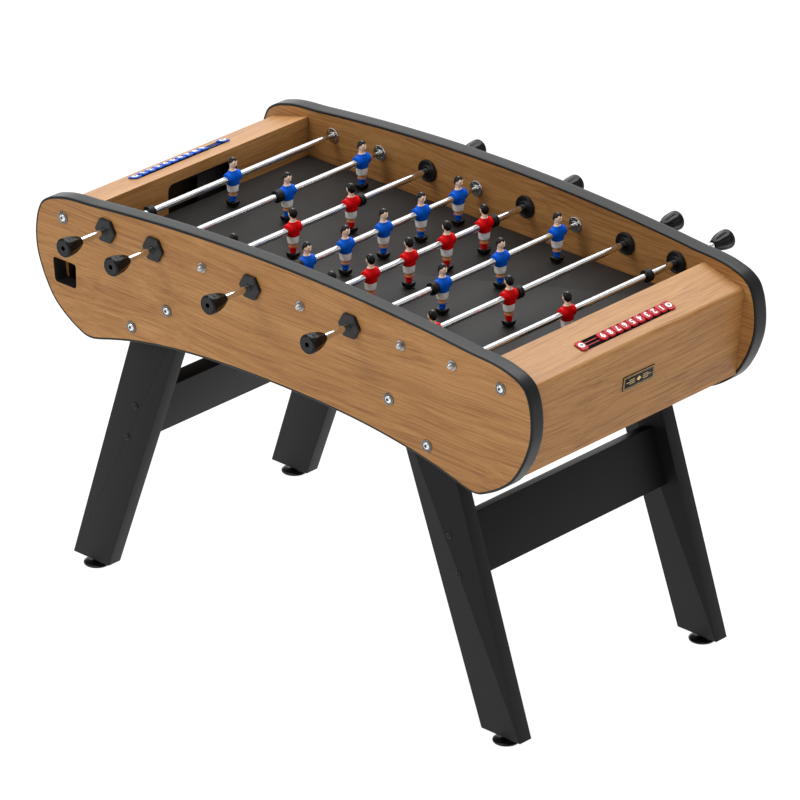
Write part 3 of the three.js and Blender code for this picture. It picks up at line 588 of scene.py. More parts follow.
# a dark grey sheet inside the case, behind the window, that darkens the view in: painted shade
shade_baffle_outline = np.array([
    (36, CASE_FLOOR + 96), (120, CASE_FLOOR + 96), (120, CASE_TOP - 46),
    (62, CASE_TOP - 46), (36, CASE_TOP - 66),
])
shade_baffle = plate(shade_baffle_outline, WALL_X + 52, WALL_X + 56, 0.6, FACING_X)

oak_crossways = oak_laminate("oak_laminate_ends", 1, "#b28450", "#a3733f", "#845830")
# the tops' oak is a paler, greyer copy of the ends' oak: painted sheen of the light overhead, besides its
# real higher gloss
oak_top_painted_sheen = oak_laminate("oak_laminate_top_painted_sheen", 1, "#b28654", "#a67848", "#8f653a", 0.48, 0.4)
oak_wall = oak_laminate("oak_laminate_goal_wall", 1, "#b28450", "#a3733f", "#845830")
black_liner = mottled("moulded_black_liner", "#0d0d0d", "#080808", 1.0, 0.03, 0.4, Specular_IOR_Level=0.3)
# inside faces of the case: unfaced board, its colour darkened to paint the shade inside the case
unfaced_board_shaded = mottled("unfaced_board_painted_shade", "#453222", "#362718", 2.5, 0.1, 0.75, Specular_IOR_Level=0.2)
# the sheet's dark grey is painted shade
shade_sheet = mottled("dark_sheet_painted_shade", "#383432", "#2c2927", 2.0, 0.03, 0.5, Specular_IOR_Level=0.3)

for side, left in (("right", False), ("left", True)):
    for part, shell, finishes, slot in (
        ("case", case_shell, [oak_crossways, oak_top_painted_sheen, unfaced_board_shaded], "oak_end"),
        ("goal_wall", goal_wall, [oak_wall, unfaced_board_shaded], "oak_end"),
        ("goal_liner", liner, [black_liner], "black_plastic"),
        ("gutter", gutter, [black_liner], "black_plastic"),
        ("shade_baffle", moved(shade_baffle, scale=(1, -1, 1)), [shade_sheet], "black_plastic"),
    ):
        placed = half_turn(shell) if left else shell
        stands_for = [f"end_case_{side}"] if part == "case" else []
        add_piece(f"{part}_{side}", "table", placed, finishes, stands_for)

# ---- rod bearings ----------------------------------------------------------------------------
# Moulded nylon bushes, one where each tube passes through its panel: a chamfered hexagonal plate
# outside, a barrel through the board, and a round dished flange inside.
HEX_RADIUS, HEX_THICK, HEX_CHAMFER = 31.5, 8.0, 2.0
BORE_RADIUS = 8.7
FLANGE_RADIUS, FLANGE_THICK = 26.5, 6.0
SEAT = 0.3

nylon = mottled("moulded_black_nylon", "#141415", "#0e0e0f", 0.8, 0.03, 0.4, Specular_IOR_Level=0.35)
sixths = np.arange(6) * np.pi / 3
hexagon = rounded_loop(HEX_RADIUS * np.stack([np.cos(sixths), np.sin(sixths)], -1), 2.5, 3)


def hex_plate():
    """The hexagonal plate: rings of the hexagon stepped in for the chamfer, then the eased bore,
    the rings meeting the circle point by point."""
    a = np.arctan2(hexagon[:, 1], hexagon[:, 0])
    rounds = np.stack([np.cos(a), np.sin(a)], -1)
    back = OUTER_Y + SEAT
    face = back + HEX_THICK
    rings = [
        (rounds * BORE_RADIUS, back), (hexagon, back), (hexagon, face - HEX_CHAMFER),
        (inset(hexagon, HEX_CHAMFER), face), (rounds * (BORE_RADIUS + 0.9), face),
        (rounds * BORE_RADIUS, face - 0.9),
    ]
    points = np.concatenate([laid(loop, -at, FACING_Y) for loop, at in rings])
    return points, grid_faces(len(rings), len(hexagon), wrap_rows=True)


barrel = [
    (BORE_RADIUS, OUTER_Y), (BARREL_RADIUS, OUTER_Y),
    (BARREL_RADIUS, INNER_Y + 1), (BORE_RADIUS, INNER_Y + 1),
]
flange_back = INNER_Y - SEAT
flange_face = flange_back - FLANGE_THICK
flange = [
    (BORE_RADIUS, flange_back), (FLANGE_RADIUS, flange_back), (FLANGE_RADIUS, flange_face + 1.8),
    (FLANGE_RADIUS - 0.6, flange_face + 0.5), (FLANGE_RADIUS - 1.8, flange_face),
    (22.5, flange_face), (21.5, flange_face + 1.0), (14.5, flange_face + 1.2),
    (13.6, flange_face + 0.3), (12.9, flange_face),
    (BORE_RADIUS + 0.6, flange_face), (BORE_RADIUS, flange_face + 0.6),
]
bush = join([hex_plate(), turned(barrel, closed=True), turned(flange, 56, closed=True)])


def on_rod(shell, i):
    """A piece made for a blue rod on the middle line, set on rod i; red rods are turned round."""
    placed = shell if i in BLUE_RODS else half_turn(shell)
    return moved(placed, (ROD_X[i - 1], 0, ROD_Z))


for i in RODS:
    stands_for = [f"rod{i}_bearing"]
    add_piece(f"rod{i}_bush", "table", on_rod(bush, i), [nylon], stands_for, 30)

# ---- fixed bars ------------------------------------------------------------------------------
# A thin bright bar stands from the panel opposite the handle, in a chromed flange held by four
# countersunk screws; the tube slides over it and it runs most of the way inside.
BAR_RADIUS = 4.8
BAR_REACH = 290.0
PLATE_RADIUS, PLATE_THICK, BOSS_RISE = 18.7, 3.4, 2.6
SCREW_CIRCLE = 13.6
bar = [
    (0, BAR_REACH), (BAR_RADIUS - 0.8, BAR_REACH), (BAR_RADIUS, BAR_REACH - 0.8),
    (BAR_RADIUS, -INNER_Y + 1), (0, -INNER_Y + 1),
]
plate_back, plate_face = -INNER_Y + 0.2, -INNER_Y + PLATE_THICK
flange_plate = [
    (0, plate_back), (PLATE_RADIUS, plate_back), (PLATE_RADIUS, plate_face - 1.2),
    (PLATE_RADIUS - 1.2, plate_face), (9.5, plate_face), (8.8, plate_face + 0.6),
    (8.5, plate_face + 2.0), (7.8, plate_face + BOSS_RISE), (0, plate_face + BOSS_RISE),
]
screw = [(0, 0), (2.3, 0)] + dome(2.1, 0.2, 0.4, 4)
screw_heads = []
screw_slot_shades = []
for k in range(4):
    angle = math.pi / 4 + k * math.pi / 2
    at = (SCREW_CIRCLE * math.cos(angle), -plate_face, SCREW_CIRCLE * math.sin(angle))
    screw_heads.append(moved(turned(screw, 16), at))
    # each slot a thin black bar let into the head: painted shade for the slot's depth
    slot_shade_bar = plate(rectangle(-1.5, 1.5, -0.3, 0.3, 0.2, 1), -0.66, -0.3, 0.05, FACING_Y, 1)
    screw_slot_shades.append(moved(slot_shade_bar, at))
paints = [0, 2] + [0] * 4 + [1] * 4
fixed_bar = join([turned(bar, 32), turned(flange_plate, 48)] + screw_heads + screw_slot_shades, paints)
mirror_chrome = brushed_chrome("mirror_chrome_flange", ("#cfd1d3", "#e6e7e8"), 0.05)
bar_steel = brushed_chrome("polished_bar_steel", ("#a9a7a3", "#c8c6c2"), 0.16)
finishes = [bar_steel, black_oxide_and_shade, mirror_chrome]
for i in RODS:
    placed = on_rod(fixed_bar, i)
    add_piece(f"rod{i}_fixed_bar", "table", placed, finishes, crease=30)

# ---- sliding tubes and bumpers ---------------------------------------------------------------
# Chromed steel tube, 16 mm across with a 1.6 mm wall, open at the end that runs over the bar. A
# grooved rubber ring is pressed on it, which stops the tube softly at the panel.
TUBE_RADIUS, TUBE_BORE = 8.0, 6.4
BUMPER_RADIUS, BUMPER_LENGTH = 15.0, 16.0
tube_chrome = brushed_chrome("chromed_tube", ("#d9dbdd", "#eeeff0"), 0.1)
soft_rubber = mottled("moulded_rubber_ring", "#0c0c0c", "#080808", 0.8, 0.04, 0.4, Specular_IOR_Level=0.3)
tube_low, tube_high = span("rod1_tube")
TUBE_START, TUBE_OPEN = -tube_low[1], tube_high[1]
GOALIE_BUMPER = -(INNER_Y - 100)
MAN_HALF_WIDTH = 21.0

tube_wall = [
    (TUBE_BORE, TUBE_START), (TUBE_RADIUS, TUBE_START), (TUBE_RADIUS, -TUBE_OPEN + 0.6),
    (TUBE_RADIUS - 0.6, -TUBE_OPEN), (TUBE_BORE + 0.3, -TUBE_OPEN), (TUBE_BORE, -TUBE_OPEN + 0.4),
]
tube = turned(tube_wall, 40, closed=True)


def bumper(y):
    """Rubber ring with two grooves: its radius falls by 1.5 mm in two bell curves of its length,
    and by a quarter round at each end."""
    at = np.linspace(-BUMPER_LENGTH / 2, BUMPER_LENGTH / 2, 33)
    groove = 1.5 * np.exp(-((np.abs(at) - 2.9) / 0.75) ** 2)
    ease = np.clip((np.abs(at) - BUMPER_LENGTH / 2 + 1.6) / 1.6, 0, 1)
    radius = BUMPER_RADIUS - groove - 1.8 * (1 - np.sqrt(1 - 0.98 * ease**2))
    ring = [(TUBE_RADIUS, at[0] - y), *zip(radius, at - y), (TUBE_RADIUS, at[-1] - y)]
    return turned(ring, 40, closed=True)


for i in RODS:
    body, steel = f"rod{i}_sliding_tube", [f"rod{i}_tube"]
    add_piece(f"rod{i}_steel_tube", body, on_rod(tube, i), [tube_chrome], steel)
    sign = 1 if i in BLUE_RODS else -1
    nearest = min(sign * middle(f"rod{i}_man{k}")[1] for k in range(1, MEN[i] + 1))
    beside_man = nearest - MAN_HALF_WIDTH - BUMPER_LENGTH / 2 - SEAT
    ring = on_rod(bumper(GOALIE_BUMPER if MEN[i] == 1 else beside_man), i)
    add_piece(f"rod{i}_bumper", body, ring, [soft_rubber], crease=60)

# ---- handles ---------------------------------------------------------------------------------
# Bell-shaped moulded grips with eight shallow flutes, a smooth rolled rim, and a separate disc let
# into the outer end, with a small moulding hole at its centre.
handle_low, handle_high = span("rod1_handle")
GRIP_END, GRIP_NECK, GRIP_RADIUS = -handle_low[1], -handle_high[1], 23.0
FLUTES, GRIP_SIDES = 8, 96
RECESS_RADIUS, HOLE_RADIUS = GRIP_RADIUS - 4.2, 5.6
grip_keys = np.array([
    (0.0, 10.5), (1.5, 11.4), (4.0, 12.9), (8.0, 15.0), (13.0, 17.3), (20.0, 19.7), (30.0, 21.9),
    (40.0, 22.9), (44.0, GRIP_RADIUS), (49.5, GRIP_RADIUS), (52.0, GRIP_RADIUS - 0.7),
    (53.4, GRIP_RADIUS - 2.2), (54.0, GRIP_RADIUS - 3.6),
])


def grip():
    """Bell profile carried round, its radius waved by flutes that fade at the neck and the rim."""
    at = np.concatenate([np.linspace(0, 49, 30), np.linspace(49.5, 54, 9)])
    radius = np.interp(at, grip_keys[:, 0], grip_keys[:, 1])
    radius[3:-9] = np.convolve(radius, np.ones(5) / 5, "same")[3:-9]
    a = np.linspace(0, 2 * np.pi, GRIP_SIDES, endpoint=False)
    fade = np.clip((at - 3) / 8, 0, 1) * np.clip((45.5 - at) / 8, 0, 1)
    scoop = np.abs(np.cos(FLUTES * a / 2)) ** 1.6
    r = radius[:, None] - 1.9 * fade[:, None] * (1 - scoop)[None, :]
    y = -(GRIP_NECK + at)[:, None] + 0 * a
    points = np.stack([r * np.cos(a), y, r * np.sin(a)], -1).reshape(-1, 3)
    closing = [(BORE_RADIUS, GRIP_NECK + 0.2), (BORE_RADIUS, GRIP_END - 4), (0, GRIP_END - 4)]
    lining = turned([(10.5, GRIP_NECK)] + closing, GRIP_SIDES)
    recess = turned([
        (RECESS_RADIUS + 0.6, GRIP_END), (RECESS_RADIUS, GRIP_END - 0.9),
        (RECESS_RADIUS, GRIP_END - 1.6), (0, GRIP_END - 1.6),
    ], GRIP_SIDES)
    return join([(points, grid_faces(len(at), GRIP_SIDES)), lining, recess])


end_disc = [
    (0, GRIP_END - 1.5), (RECESS_RADIUS - 0.2, GRIP_END - 1.5), (RECESS_RADIUS - 0.2, GRIP_END - 0.7),
    (RECESS_RADIUS - 0.8, GRIP_END - 0.3), (RECESS_RADIUS - 3.3, GRIP_END - 0.4),
    (HOLE_RADIUS + 0.8, GRIP_END - 0.5), (HOLE_RADIUS + 0.2, GRIP_END - 0.9),
    (HOLE_RADIUS, GRIP_END - 1.4), (0, GRIP_END - 1.4),
]
# the hole is shallow, its floor near black with no gloss: painted shade for the hole's depth
hole_shade_floor = [
    (0, GRIP_END - 1.45), (HOLE_RADIUS, GRIP_END - 1.45),
    (HOLE_RADIUS, GRIP_END - 1.1), (0, GRIP_END - 1.1),
]
grip_black = mottled("moulded_black_grip", "#0a0a0b", "#070708", 0.7, 0.02, 0.2, Specular_IOR_Level=0.2)
disc_grey = mottled("moulded_grey_disc", "#2d2d2f", "#272729", 0.7, 0.03, 0.5, Specular_IOR_Level=0.15)
# near black with no gloss: painted shade in the hole
hole_painted_shade = mottled("moulding_hole_painted_shade", "#030303", "#020202", 1.0, 0.02, 0.8, Specular_IOR_Level=0.0)
handle = join([grip(), turned(end_disc, GRIP_SIDES), turned(hole_shade_floor, 32)], [0, 1, 2])
finishes = [grip_black, disc_grey, hole_painted_shade]
for i in RODS:
    body, stands_for = f"rod{i}_men_and_handle", [f"rod{i}_handle"]
    add_piece(f"rod{i}_grip", body, on_rod(handle, i), finishes, stands_for, 32)

# ---- men -------------------------------------------------------------------------------------
# Moulded and painted players, one piece each: boots in a block, socks with a turned cuff, knees,
# white shorts, a shirt whose arms make a barrel round the rod, a bare neck, and black hair.


def ringed(keys, sides=40, steps=4):
    """Stack of rounded rings. Keys are (height, half width, half depth, forward shift, squareness);
    sizes between keys ease in and out, and squareness bends an ellipse towards its box."""
    keys = np.asarray(keys, float)
    t = np.linspace(0, len(keys) - 1, (len(keys) - 1) * steps + 1)
    low = np.minimum(t.astype(int), len(keys) - 2)
    f = t - low
    height = keys[low, 0] + (keys[low + 1, 0] - keys[low, 0]) * f
    slope = np.gradient(keys[:, 1:], axis=0)
    f = f[:, None]
    ring = (2 * f**3 - 3 * f**2 + 1) * keys[low, 1:] + (f**3 - 2 * f**2 + f) * slope[low] * 0.6
    ring = ring + (3 * f**2 - 2 * f**3) * keys[low + 1, 1:] + (f**3 - f**2) * slope[low + 1] * 0.6
    a = np.linspace(0, 2 * np.pi, sides, endpoint=False)[None, :]
    cos, sin = np.cos(a), np.sin(a)
    power = 2 / (2 + 6 * np.clip(ring[:, 3:4], 0, 1))
    x = ring[:, 1:2] * np.sign(cos) * np.abs(cos) ** power + ring[:, 2:3]
    y = ring[:, 0:1] * np.sign(sin) * np.abs(sin) ** power
    points = np.stack([x, y, height[:, None] + 0 * a], -1).reshape(-1, 3)
    return points, ring_stack(len(t), sides)


boots = ringed([
    (-69, 10.8, 9.8, 0, 0.6), (-68.4, 11.6, 10.6, 0, 0.65), (-65, 12.0, 11.4, 0, 0.7),
    (-61, 12.3, 12.2, 0, 0.72), (-58.4, 12.7, 13.0, 0, 0.75), (-57.4, 12.5, 12.8, 0, 0.75),
    (-56.8, 11.4, 11.6, 0, 0.7),
], 48)
socks = ringed([
    (-58, 7.3, 7.4, 0, 0), (-50, 7.0, 7.0, 0, 0), (-47.5, 7.6, 7.6, 0, 0), (-46, 10.0, 9.8, 0, 0),
    (-44.8, 10.9, 10.6, 0, 0), (-43.9, 10.6, 10.3, 0, 0), (-43.6, 9.0, 8.8, 0, 0),
])
knees = ringed([
    (-44.4, 8.8, 8.8, 0, 0), (-43, 9.6, 9.6, 0, 0), (-41.6, 10.0, 9.9, 0, 0), (-40.4, 9.3, 9.3, 0, 0),
    (-38, 8.9, 8.9, 0, 0), (-32, 9.6, 9.4, 0, 0),
])
shorts = ringed([
    (-33.2, 9.4, 9.2, 0, 0), (-33.6, 11.2, 10.6, 0, 0.05), (-32.9, 11.9, 11.2, 0, 0.1),
    (-26, 12.7, 12.0, 0, 0.1), (-18, 13.6, 12.4, 0, 0.12), (-13, 13.8, 12.4, 0, 0.12),
])
shirt = ringed([
    (-15.4, 12.0, 11.2, 0, 0.1), (-15.8, 13.9, 12.6, 0, 0.12), (-15.0, 14.8, 13.2, 0, 0.14),
    (-8, 15.6, 13.3, 0.2, 0.12), (0, 17.6, 13.5, 0.3, 0.1), (6, 18.6, 13.0, 0.2, 0.06),
    (11, 17.8, 11.8, 0, 0.02), (15, 14.6, 9.9, -0.2, 0), (17.6, 11.2, 8.7, -0.3, 0),
    (18.6, 9.6, 8.0, -0.3, 0),
])
# the arms hang as one barrel round the rod, as wide as the man and eased at both rims
arm_at = np.linspace(-MAN_HALF_WIDTH, MAN_HALF_WIDTH, 43)
arm_ease = np.clip((np.abs(arm_at) - 17.2) / 3.8, 0, 1)
arm_radius = 13.2 - 0.25 * (arm_at / 10) ** 2 - 2.6 * (1 - np.sqrt(1 - 0.97 * arm_ease**2))
arms = turned([(0, -MAN_HALF_WIDTH), *zip(arm_radius, arm_at), (0, MAN_HALF_WIDTH)], 40)
arms = moved(arms, (0, 0, 1.6), (1.0, 1.0, 1.08))
rim_half = [(10.4, MAN_HALF_WIDTH), (9.2, MAN_HALF_WIDTH + 0.35), (8.3, MAN_HALF_WIDTH)]
sleeve_rim = turned(rim_half + [(r, -at) for r, at in rim_half[::-1]], 32, closed=True)
neck = ringed([
    (15, 9.0, 7.2, -0.4, 0), (18.4, 9.4, 7.8, -0.2, 0), (19.8, 7.6, 7.0, -0.4, 0),
    (22, 6.4, 6.6, -0.8, 0), (28, 6.4, 7.0, -0.8, 0),
], 32)


HEAD_SIDES, HEAD_ROWS = 56, 36
HEAD_CENTRE = np.array([0.6, 0, 36.5])
HAIR_TOP = 49.45


def head_point(u, v, grow):
    """Head as an egg: half width, depth and height of 9.3, 10.8 and 13 mm, the jaw drawn in, a
    small nose, brow, and two ears, all as soft bumps on it."""
    x, y, z = np.cos(u) * np.sin(v), np.sin(u) * np.sin(v), -np.cos(v)
    jaw = np.clip(-z, 0, 1) ** 2
    width, depth = 9.3 - 2.2 * jaw, 10.8 - 1.6 * jaw
    front = np.clip(x, 0, 1)
    nose = 2.3 * np.exp(-((y * 9) / 1.7) ** 2 - ((z + 0.22) / 0.17) ** 2) * front**2
    brow = 0.5 * np.exp(-((z - 0.18) / 0.1) ** 2) * front**2 * (np.abs(y) < 0.6)
    chin = 0.9 * np.exp(-((z + 0.78) / 0.16) ** 2) * front**2
    hollow = -0.7 * np.exp(-((z - 0.02) / 0.1) ** 2 - ((np.abs(y) - 0.36) / 0.16) ** 2) * front**2
    ears = 1.6 * np.exp(-((x + 0.08) / 0.15) ** 2 - ((z + 0.02) / 0.24) ** 2)
    reach = grow + nose + brow + chin + hollow
    across = y * (width + grow) + np.sign(y) * ears * (grow <= 0)
    return np.stack([x * (depth + reach), across, z * (13.0 + grow)], -1) + HEAD_CENTRE


def outwards(points):
    """Unit directions from the head's centre to points on it."""
    away = points - HEAD_CENTRE
    return away / np.linalg.norm(away, axis=-1)[..., None]


u = np.linspace(0, 2 * np.pi, HEAD_SIDES, endpoint=False)[None, :]
v = np.linspace(0, np.pi, HEAD_ROWS)[:, None]
skull = head_point(u, v, 0 * u)
head = (skull.reshape(-1, 3), grid_faces(HEAD_ROWS, HEAD_SIDES))
facing, up = np.cos(u) * np.sin(v), -np.cos(v)
# hair lies outside a hairline that drops from the brow, in front of the ears, to the nape
hairline = 0.5 - 0.12 * np.cos(6 * u) * (facing > 0) - 1.05 * np.clip(0.55 - facing, 0, 1.1)
cover = np.clip((up - hairline) / 0.07, 0, 1)
grow = -0.9 + 1.9 * cover * cover * (3 - 2 * cover)
locks = 0.12 * np.sin(18 * u + 4 * v) * cover * np.sin(v)
locked = skull + outwards(skull) * (grow + locks)[..., None]
locked[..., 2] = np.minimum(locked[..., 2], HAIR_TOP)
hair = (locked.reshape(-1, 3), grid_faces(HEAD_ROWS, HEAD_SIDES))


def eye_patch(side, low, high, half_wide, lift):
    """Small raised patch on the face, its corners on the head's own surface: an eye or a brow."""
    rows, cols = 4, 7
    count = rows * cols
    sideways = np.linspace(side * 0.36 - half_wide, side * 0.36 + half_wide, cols)[None, :]
    upwards = np.linspace(low, high, rows)[:, None]
    face = head_point(sideways, upwards, 0 * sideways)
    layers = [face + outwards(face) * lift, face - outwards(face) * 0.3]
    front = grid_faces(rows, cols, wrap_cols=False)
    rear = [[corner + count for corner in quad] for quad in front]
    ids = np.arange(count).reshape(rows, cols)
    edge = np.concatenate([ids[0], ids[1:, -1], ids[-1, -2::-1], ids[-2:0:-1, 0]]).tolist()
    walls = [[a, b, b + count, a + count] for a, b in zip(edge, edge[1:] + edge[:1])]
    return np.stack(layers).reshape(-1, 3), front + rear + walls


eyes = [eye_patch(s, 1.52, 1.62, 0.1, 0.18) for s in (-1, 1)]
brows = [eye_patch(s, 1.77, 1.81, 0.14, 0.2) for s in (-1, 1)]
man_parts = [boots, socks, knees, shorts, shirt, arms, sleeve_rim, neck, head, hair, *eyes, *brows]
man = join(man_parts, [0, 1, 2, 3, 1, 1, 1, 4, 4, 5, 5, 5, 5, 5])

boot_black = mottled("black_boot_paint", "#090909", "#060606", 2.0, 0.03, 0.3, Specular_IOR_Level=0.3)
hair_black = mottled("black_hair_paint", "#090909", "#060606", 2.0, 0.03, 0.34, Specular_IOR_Level=0.22)
knee_tan = mottled("tan_knee_paint", "#c98d55", "#b87a45", 3.0, 0.02, 0.42)
shorts_white = mottled("white_shorts_paint", "#f3f2f0", "#e8e6e4", 3.0, 0.02, 0.38)
skin_paint = mottled("skin_tone_paint", "#f8dac4", "#f1ccb0", 3.0, 0.02, 0.42)
shirts = {
    "blue": mottled("blue_shirt_paint", "#0059cc", "#0050bc", 3.0, 0.02, 0.36, Specular_IOR_Level=0.1),
    "red": mottled("red_shirt_paint", "#d2030b", "#c10309", 3.0, 0.02, 0.36, Specular_IOR_Level=0.1),
}
for i in RODS:
    team, way = ("blue", 1) if i in BLUE_RODS else ("red", -1)
    finishes = [boot_black, shirts[team], knee_tan, shorts_white, skin_paint, hair_black]
    for k in range(1, MEN[i] + 1):
        stands_for = f"rod{i}_man{k}"
        placed = moved(man, (ROD_X[i - 1], middle(stands_for)[1], ROD_Z), (way, way, 1))
        body, slot = f"rod{i}_men_and_handle", f"{team}_figure"
        add_piece(f"rod{i}_player{k}", body, placed, finishes, [stands_for], 50)

# ---- legs, feet and crossbars ----------------------------------------------------------------
# Splayed legs and crossbars of 38 mm black melamine-faced board with eased edges. The legs stand
# inside the panels on screwed levelling feet; two black bolts in each leg hold its crossbar.
LEG_THICK = 38.0
LEG_FOOT_Z, LEG_TOP = 18.0, span("leg_right_far")[1][2]
LEG_FOOT_OUTER = WALL_X + 91
LEG_FOOT_INNER = LEG_FOOT_OUTER - 115
OUTER_SPLAY, INNER_SPLAY = 0.332, 0.372  # mm inwards per mm of height
FOOT_RADIUS = 31.0
rise = LEG_TOP - LEG_FOOT_Z
leg_outline = rounded_loop([
    (LEG_FOOT_INNER, LEG_FOOT_Z), (LEG_FOOT_OUTER, LEG_FOOT_Z),
    (LEG_FOOT_OUTER - OUTER_SPLAY * rise, LEG_TOP), (LEG_FOOT_INNER - INNER_SPLAY * rise, LEG_TOP),
], 1.2, 2)
LEG_OUT = INNER_Y - SEAT
leg_board = plate(leg_outline, LEG_OUT - LEG_THICK, LEG_OUT, 1.2, FACING_Y)

foot_x, foot_y = (LEG_FOOT_OUTER + LEG_FOOT_INNER) / 2, LEG_OUT - LEG_THICK / 2
thread = []
for k in range(6):
    thread += [(5.6, 9.0 + 1.5 * k), (6.4, 9.75 + 1.5 * k)]
foot_profile = [
    (0, 0), (28.6, 0), (30.2, 0.6), (FOOT_RADIUS, 2.0), (FOOT_RADIUS, 4.2), (29.8, 5.4),
    (24, 6.4), (13, 7.2), (10, 8.6),
]
foot_profile += thread + [(5.6, 18.0), (0, 18.0)]
foot_nut = [(0, 11.4), (9.4, 11.4), (10.0, 12.0), (10.0, 16.8), (9.4, 17.4), (0, 17.4)]


def standing(shell, x, y):
    """A turned piece made along the Y axis, stood upright at a place on the floor."""
    px, py, pz = shell[0].T
    return (np.stack([px + x, pz + y, -py], -1), *shell[1:])


foot_parts = [turned(foot_profile, 48), turned(foot_nut, 6)]
foot = join([standing(part, foot_x, foot_y) for part in foot_parts])
LEG_BOLTS = [(483.0, 458.0), (511.0, 371.0)]
leg_bolt = [(0, -0.2), (7.6, -0.2), (8.0, 0.6)] + dome(7.8, 0.8, 2.6, 7)[:-2]
leg_bolt += [(3.0, leg_bolt[-1][1]), (3.0, 1.6), (0, 1.4)]
bolts = [moved(turned(leg_bolt, 32), (x, LEG_OUT, z), (1, -1, 1)) for x, z in LEG_BOLTS]
leg_with_foot = join([leg_board, foot] + bolts, [0, 1, 2, 2])

# melamine facing with a fine pearl texture that breaks up its sheen
melamine = mottled("black_melamine_board", "#151516", "#101011", 1.6, 0.05, 0.5, Specular_IOR_Level=0.18)
foot_nylon = mottled("black_foot_nylon", "#0b0b0c", "#080808", 1.0, 0.03, 0.3, Specular_IOR_Level=0.35)
finishes = [melamine, foot_nylon, black_oxide_and_shade]
for depth, sy in (("far", 1), ("near", -1)):
    for side, sx in (("right", 1), ("left", -1)):
        name = f"{side}_{depth}"
        placed = moved(leg_with_foot, scale=(sx, sy, 1))
        add_piece(f"leg_board_{name}", "table", placed, finishes, [f"leg_{name}"])

CROSS_HEIGHT, CROSS_THICK, CROSS_LEAN = 138.0, 38.0, 0.32
bar_low, bar_high = span("crossbar_right")
tilt = math.atan(CROSS_LEAN)
half_thick, half_high = CROSS_THICK / 2, CROSS_HEIGHT / 2
cross_section = rectangle(-half_thick, half_thick, -half_high, half_high, 1.5, 3)
tilting = np.array([[math.cos(tilt), math.sin(tilt)], [-math.sin(tilt), math.cos(tilt)]])
leaning_section = cross_section @ tilting + middle("crossbar_right")[[0, 2]]
cross_board = plate(leaning_section, bar_low[1], bar_high[1], 0.4, FACING_Y)
for side, placed in (("right", cross_board), ("left", half_turn(cross_board))):
    name = f"cross_board_{side}"
    add_piece(name, "table", placed, [melamine], [f"crossbar_{side}"])

# ---- scorers ---------------------------------------------------------------------------------
# On each end top nine numbered counters slide along two moulded rails between end pads, each pad
# held by a cross-head screw in a white washer. Red reads from inside the table, blue likewise.
STACK_END = span("score_counters_red")[1][1]
COUNT, COUNTER_PITCH = 9, 24.3
COUNTER_LENGTH, COUNTER_WIDTH, COUNTER_HEIGHT = 23.7, 27.0, 5.0
COUNTER_LIFT = 0.8
RAIL_X = WALL_X + 71
RAIL_TO = STACK_END + 1
RAIL_FROM = RAIL_TO - 264
PAD_LENGTH, PAD_HALF_WIDTH = 22.5, 15.5
SCREW_TOP = 5.1
slope = math.atan(TOP_DROP)
lean = np.array(Matrix.Rotation(slope, 3, "Y"))
rail_top = CASE_TOP - TOP_DROP * (RAIL_X - WALL_X)


def on_slope(shell, lift=0.0):
    """A piece made flat at the origin, laid on the sloping end top at the rail's middle."""
    return (shell[0] @ lean.T + (RAIL_X, 0, rail_top + lift), *shell[1:])


def counter(y):
    """Counter with well-rounded corners, its crown domed: rings of its outline stepped in."""
    half_wide, half_long = COUNTER_WIDTH / 2, COUNTER_LENGTH / 2
    loop = rectangle(-half_wide, half_wide, y - half_long, y + half_long, 9.5, 5)
    rings = [(0.8, 0.1), (0.0, 0.8), (0.0, 2.4), (0.5, 3.6), (1.6, 4.3), (3.2, 4.65), (6.5, 4.8)]
    return stepped(loop, rings, FACING_Z)


def numeral(number, y):
    """A numeral 15 mm high as a thin raised shape, its top towards +X, set on the counter at y."""
    text = bpy.data.curves.new("numeral", "FONT")
    text.body = str(number)
    text.size = 22 * MM
    text.align_x, text.align_y = "CENTER", "CENTER"
    text.extrude = 0.25 * MM
    text.offset = 0.4 * MM
    text.resolution_u = 3
    maker = bpy.data.objects.new("numeral", text)
    bpy.context.scene.collection.objects.link(maker)
    bpy.context.view_layer.update()
    drawn = maker.evaluated_get(bpy.context.evaluated_depsgraph_get())
    mesh = bpy.data.meshes.new_from_object(drawn)
    flat = np.zeros(len(mesh.vertices) * 3)
    mesh.vertices.foreach_get("co", flat)
    faces = [list(face.vertices) for face in mesh.polygons]
    bpy.data.objects.remove(maker)
    bpy.data.curves.remove(text)
    bpy.data.meshes.remove(mesh)
    across, up, out = (flat.reshape(-1, 3) / MM).T
    upright = up - (up.min() + up.max()) / 2
    return np.stack([upright, y - across, out + COUNTER_HEIGHT - 0.28], -1), faces


stack = [STACK_END - COUNTER_LENGTH / 2 - k * COUNTER_PITCH for k in range(COUNT)]
digits = [numeral(k + 1, y) for k, y in enumerate(stack)]
counters = join([counter(y) for y in stack] + digits, [0] * COUNT + [1] * COUNT)
rails = []
for x0, x1 in ((-6.5, -4.0), (4.0, 6.5)):
    strip = rectangle(x0, x1, RAIL_FROM - 2, RAIL_TO + 2, 0.8, 1)
    rails.append(plate(strip, 0.1, 0.95, 0.3, FACING_Z))
